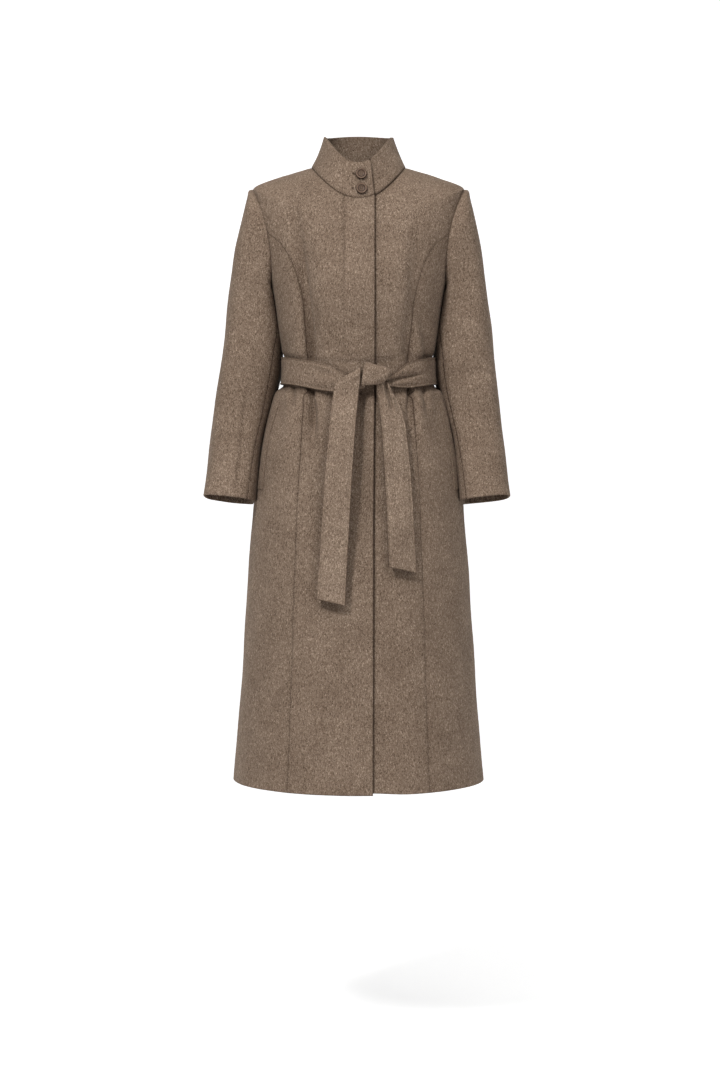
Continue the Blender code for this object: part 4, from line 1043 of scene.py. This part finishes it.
half = (BELT_EDGE_ROWS[1] - BELT_EDGE_ROWS[0]) / 2
line = girth(turn, np.full(turn.shape, waist))
in_front = ((turn < 1) | (turn > 3)) & (line[..., 1] < 0)
line_x = np.clip(line[..., 0], -BAND_REACH, BAND_REACH)
rise_top, rise_bottom = (
    np.where(in_front, along_table(*edge.T, line_x), 0.0) for edge in (BAND_TOP, BAND_BOTTOM)
)
rise = (rise_top - rise_bottom) / 2 * -across + (rise_top + rise_bottom) / 2
plain = girth(turn, waist + half * across - rise / WAIST_ROW_HEIGHT)
lift = BELT_LIFT + BELT_CLOTH + unevenness(plain, 0.0008)
lift = lift + np.where(in_front, creases(BAND_FOLDS, plain[..., 0], plain[..., 2]), 0.0)
to_edge = np.minimum(*runs(plain, 0))
lift = lift - BAND_DENT * bell(to_edge - BELT_STITCH_INSET, BAND_DENT_WIDTH)
belt_band, band_face, band_out = cloth_shell(
    "belt_band_cloth", plain + grid_normals(plain, -1.0) * lift[..., None], -1.0, wool,
    thickness=BELT_CLOTH, roll=DOUBLED_ROLL, seams="", puckers="tb", edge_shade=BELT_EDGE_SHADE,
)
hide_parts("belt_band")


def edge_stitching(name, face, outward, axis):
    """Two rows of stitches, one inset from each long edge of a strip whose edges lie along the given axis."""
    first, last = runs(face, 1 - axis)
    face, outward, first, last = (np.moveaxis(x, axis, 0) for x in (face, outward, first, last))
    rows = np.arange(len(face))
    found = []
    for distance in (first, last):
        at = np.argmin(np.abs(distance - BELT_STITCH_INSET), axis=1)
        sewn, sewn_out = face[rows, at][4:-4], outward[rows, at][4:-4]
        found.append(stitch_row(sewn, sewn_out, STITCH, BELT_STITCH_GAP))
    both_rows = (np.concatenate(parts) for parts in zip(*found))
    return stitches(name, *both_rows, BELT_THREAD_RADIUS, STITCH_ARCH, thread)


band_stitching = edge_stitching("belt_band_stitching", band_face, band_out, 1)

# Hanging ends of the belt: the right one folds over at the knot and hangs further, the left one comes out
# from under it with a pleat. Both end in slanted, turned-in edges and stand a little off the skirt.
painted_lighter_wool = felted_wool("felted_wool_painted_lighter", 0.06)  # a lighter copy: painted light on the belt's ends and knot
TAILS = {  # x, z, half width, slant, lift, from the knot down
    "right": np.array([
        (-0.0085, -0.3560, 0.0125, -0.60, 0.0070), (-0.0165, -0.3665, 0.0205, -0.35, 0.0075),
        (-0.0195, -0.3800, 0.0222, -0.10, 0.0090), (-0.0248, -0.4235, 0.0224, 0.05, 0.0120),
        (-0.0335, -0.5275, 0.0234, 0.07, 0.0125), (-0.0419, -0.6670, 0.0241, 0.08, 0.0110),
        (-0.0470, -0.7480, 0.0250, 0.22, 0.0130),
    ]),
    "left": np.array([
        (0.0405, -0.3740, 0.0105, 0.00, 0.0062), (0.0450, -0.3900, 0.0135, 0.02, 0.0075),
        (0.0512, -0.4080, 0.0179, 0.05, 0.0105), (0.0584, -0.4390, 0.0210, 0.08, 0.0115),
        (0.0630, -0.4850, 0.0222, 0.10, 0.0115), (0.0675, -0.5410, 0.0230, 0.11, 0.0115),
        (0.0752, -0.6940, 0.0240, 0.24, 0.0130),
    ]),
}
STITCHING_TOP = -0.392  # above it the ends are gathered, and the stitches are hidden
TAIL_WIDTH = 0.046
TAIL_DENT, TAIL_DENT_WIDTH = 0.0010, 0.0015
TAIL_TUCK = 0.0022  # drop of the right end above the line where it folds over
FORWARD = np.array([0.0, -1.0, 0.0])
TAIL_FOLDS = {  # x and z of both ends, half width, height
    "right": (
        (-0.024, -0.366, 0.010, -0.3425, 0.0021, -0.0034), (-0.016, -0.372, 0.008, -0.354, 0.0042, 0.0020),
        (-0.030, -0.400, -0.036, -0.560, 0.0080, -0.0008), (-0.020, -0.430, -0.034, -0.700, 0.0090, 0.0008),
    ),
    "left": (
        (0.0430, -0.368, 0.0590, -0.425, 0.0021, -0.0065), (0.0395, -0.374, 0.0520, -0.430, 0.0034, 0.0034),
        (0.0500, -0.372, 0.0650, -0.430, 0.0030, 0.0040), (0.0345, -0.372, 0.0440, -0.440, 0.0028, -0.0024),
        (0.0560, -0.430, 0.0640, -0.600, 0.0090, -0.0010),
    ),
}


def front_at(x, z):
    """The point of the plain front at a place in the front view, for what hangs on it."""
    rows = np.linspace(7, HEM_ROW, 400)
    share = np.clip(x[..., None] / body_size("half_width", rows), -1.0, 1.0) ** 2
    middle = body_size("z_front", rows)
    heights = middle + (body_size("z_side", rows) - middle) * share
    below = np.clip((heights > z[..., None]).sum(axis=-1), 1, len(rows) - 1)
    high, low = (np.take_along_axis(heights, at[..., None], axis=-1)[..., 0] for at in (below - 1, below))
    row = rows[below - 1] + (rows[1] - rows[0]) * np.clip((high - z) / (high - low), 0.0, 1.0)
    return plain_body("front", angle_at_x(x, row), row)


for side, table in TAILS.items():
    knots = np.arange(len(table))
    length = table[0, 1] - table[-1, 1]
    height = table[0, 1] - length * edge_spacing(length, 0.0024)[0]
    at = np.interp(-height, -table[:, 1], knots)
    x, z, half_width, slant, lift = (along_table(knots, size, at)[:, None] for size in table.T)
    across = 2 * edge_spacing(TAIL_WIDTH, 0.0014)[0] - 1
    x, z = x + half_width * across, z - slant * half_width * across
    face = front_at(x, z)
    lift = lift + BELT_CLOTH + creases(TAIL_FOLDS[side], x, z) + unevenness(face, 0.0009)
    if side == "right":
        above_fold = (z + 0.3565) - (x - 0.006) * 0.62
        lift = lift - TAIL_TUCK * ease(above_fold, -0.0008, 0.0012) * ease(-x, -0.012, 0.0)
    face = face + lift[..., None] * FORWARD
    to_edge = np.minimum(*runs(face, 1))
    dent = TAIL_DENT * bell(to_edge - BELT_STITCH_INSET, TAIL_DENT_WIDTH) * ease(-z, 0.375, 0.40)
    face = face + grid_normals(face, 1.0) * dent[..., None]
    name = f"belt_tail_{side}"
    piece, tail_face, tail_out = cloth_shell(
        name + "_cloth", face, -1.0, painted_lighter_wool, thickness=BELT_CLOTH, roll=DOUBLED_ROLL, seams="",
        edge_shade=BELT_EDGE_SHADE,
    )
    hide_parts(name)
    sewn = tail_face[:, 0, 2] < STITCHING_TOP
    stitching = edge_stitching(name + "_stitching", tail_face[sewn], tail_out[sewn], 0)

# Knot: the wrap of the belt that goes over the crossing of its two ends, pulled tight so that its edges roll
# in and small folds run across it.
KNOT = {  # corner to corner in the front view: x and z along the upper and the lower edge
    "top": np.array([
        (0.0075, -0.3535), (0.0145, -0.3405), (0.0265, -0.3445), (0.0470, -0.3488), (0.0580, -0.3565),
    ]),
    "low": np.array([
        (0.0040, -0.3800), (0.0130, -0.3812), (0.0270, -0.3804), (0.0425, -0.3762), (0.0575, -0.3600),
    ]),
}
KNOT_WIDTH, KNOT_HEIGHT, KNOT_STEP = 0.054, 0.036, 0.0016
KNOT_CLOTH = 0.0032
KNOT_LIFT = 0.0035
KNOT_BULGE = 0.0125
KNOT_FOLDS = (  # x and z of both ends, half width, height
    (0.010, -0.3740, 0.046, -0.3560, 0.0030, -0.0010), (0.012, -0.3480, 0.036, -0.3650, 0.0045, 0.0012),
    (0.030, -0.3780, 0.052, -0.3640, 0.0026, -0.0009), (0.008, -0.3620, 0.024, -0.3760, 0.0034, -0.0010),
)
u, v = np.meshgrid(*(edge_spacing(size, KNOT_STEP)[0] for size in (KNOT_WIDTH, KNOT_HEIGHT)))


def knot_edge(edge):
    """x and z along one edge of the knot, at each share u of its length."""
    at = np.linspace(0, 1, len(edge))
    return np.stack([along_table(at, edge[:, k], u) for k in (0, 1)], axis=-1)


top_edge, low_edge = (knot_edge(edge) for edge in KNOT.values())
front = top_edge + (low_edge - top_edge) * v[..., None]
x, z = front[..., 0], front[..., 1]
fullness = 0.30 + 0.70 * np.sqrt(np.clip(np.sin(np.pi * (0.12 + 0.80 * u)), 0, 1))
bulge = np.sqrt(np.clip(1 - (2 * v - 1) ** 2, 0, 1)) * fullness
lift = BELT_LIFT + BELT_CLOTH + KNOT_LIFT + 0.0030 * v + KNOT_BULGE * bulge + creases(KNOT_FOLDS, x, z)
lift = lift - 0.0030 * ease(u, 0.90, 1.0) - 0.0020 * (1 - ease(u, 0.0, 0.07))
face = front_at(x, z) + lift[..., None] * FORWARD
belt_knot, _, _ = cloth_shell(
    "belt_knot_cloth", face, -1.0, painted_lighter_wool, thickness=KNOT_CLOTH, roll=DOUBLED_ROLL, seams="", puckers="",
    edge_shade=BELT_EDGE_SHADE,
)
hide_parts("belt_knot")

# Stage: a white paper sweep, floor and background in one, that glows: painted light for lamps out of sight.
# A small key lamp stands at the upper left in front of the coat, a wide one hangs overhead, and a weaker one
# stands at the right.
FLOOR_Z = -1.53
SWEEP_HALF = 9.0
SWEEP_COLUMNS = 9
SWEEP_FRONT, SWEEP_BEND, SWEEP_RADIUS, SWEEP_TOP = -7.0, 3.0, 2.0, 5.0
SWEEP_GLOW = 0.50
GLOW_STARTS, GLOW_FULL = -1.1, -0.28  # depths between which the paper's own light sets in
PAPER_MOTTLE = 0.8
WHITE = (1.0, 1.0, 1.0, 1.0)


def white_paper():
    """Matt white background paper with the faintest mottling. Its glow stands for the lamps that light only
    the paper."""
    material, tree, shader, place = blank_material("matt_white_paper")
    mottle = add_node(tree, "ShaderNodeTexNoise", {}, {
        "Vector": place, "Scale": 1 / PAPER_MOTTLE, "Detail": 3.0,
    })
    ramp = add_node(tree, "ShaderNodeValToRGB", {}, {"Fac": mottle.outputs["Fac"]})
    for element, colour in zip(ramp.color_ramp.elements, ("#f4f4f4", "#fafafa")):
        element.color = linear(colour)
    tree.links.new(ramp.outputs["Color"], shader.inputs["Base Color"])
    shader.inputs["Roughness"].default_value = 0.9
    shader.inputs["Emission Color"].default_value = WHITE
    depth = add_node(tree, "ShaderNodeSeparateXYZ", {}, {"Vector": place})
    glow = add_node(tree, "ShaderNodeMapRange", {"interpolation_type": "SMOOTHSTEP"}, {
        "Value": depth.outputs["Y"], "From Min": GLOW_STARTS, "From Max": GLOW_FULL,
        "To Min": 0.0, "To Max": SWEEP_GLOW,
    })
    tree.links.new(glow.outputs["Result"], shader.inputs["Emission Strength"])
    return material


bend = np.linspace(0, np.pi / 2, 24)
bend_y = SWEEP_BEND + SWEEP_RADIUS * np.sin(bend)
bend_z = FLOOR_Z + SWEEP_RADIUS * (1 - np.cos(bend))
profile_y = np.concatenate([[SWEEP_FRONT], bend_y, [SWEEP_BEND + SWEEP_RADIUS]])
profile_z = np.concatenate([[FLOOR_Z], bend_z, [SWEEP_TOP]])
sweep_x, sweep_y = np.meshgrid(np.linspace(-SWEEP_HALF, SWEEP_HALF, SWEEP_COLUMNS), profile_y)
sweep_z = np.repeat(profile_z[:, None], SWEEP_COLUMNS, axis=1)
sweep = np.stack([sweep_x, sweep_y, sweep_z], axis=-1)
floor_mesh = bpy.data.meshes.new("paper_sweep")
floor_mesh.from_pydata(sweep.reshape(-1, 3).tolist(), [], grid_quads(*sweep.shape[:2])[1].tolist())
floor_mesh.shade_smooth()
floor_mesh.materials.append(white_paper())
floor = bpy.data.objects.new("paper_sweep", floor_mesh)
bpy.context.scene.collection.objects.link(floor)

ROOM_LIGHT = 0.14
world = bpy.data.worlds.new("studio_room")
bpy.context.scene.world = world
world.use_nodes = True
room = world.node_tree.nodes["Background"]
room.inputs["Color"].default_value = WHITE
room.inputs["Strength"].default_value = ROOM_LIGHT
LAMPS = {  # place, size, power
    "key": ((-1.4, -2.9, 2.0), 0.6, 92.0),
    "overhead": ((0.0, -1.6, 2.5), 3.0, 66.0),
    "fill": ((1.8, -3.4, 0.9), 2.0, 29.0),
}
LAMPS_AIM = (0.0, 0.0, -0.5)
CAMERA_PLACE = (0.0026, -4.2, -0.524)
CAMERA_AIM = (0.0026, 0.0, -0.648)
CAMERA_LENS = 79.7  # millimetres


def put_in_place(name, data, place, aim):
    """An object that looks along its own -Z from a place towards an aim, with Y up."""
    made = bpy.data.objects.new(name, data)
    made.location = place
    made.rotation_euler = (Vector(aim) - Vector(place)).to_track_quat("-Z", "Y").to_euler()
    bpy.context.scene.collection.objects.link(made)
    return made


for name, (place, size, power) in LAMPS.items():
    light = bpy.data.lights.new(name, "AREA")
    light.size = size
    light.energy = power
    put_in_place(name, light, place, LAMPS_AIM)
bpy.context.scene.view_settings.view_transform = "Standard"

lens = bpy.data.cameras.new("camera")
lens.lens = CAMERA_LENS
bpy.context.scene.camera = put_in_place("camera", lens, CAMERA_PLACE, CAMERA_AIM)
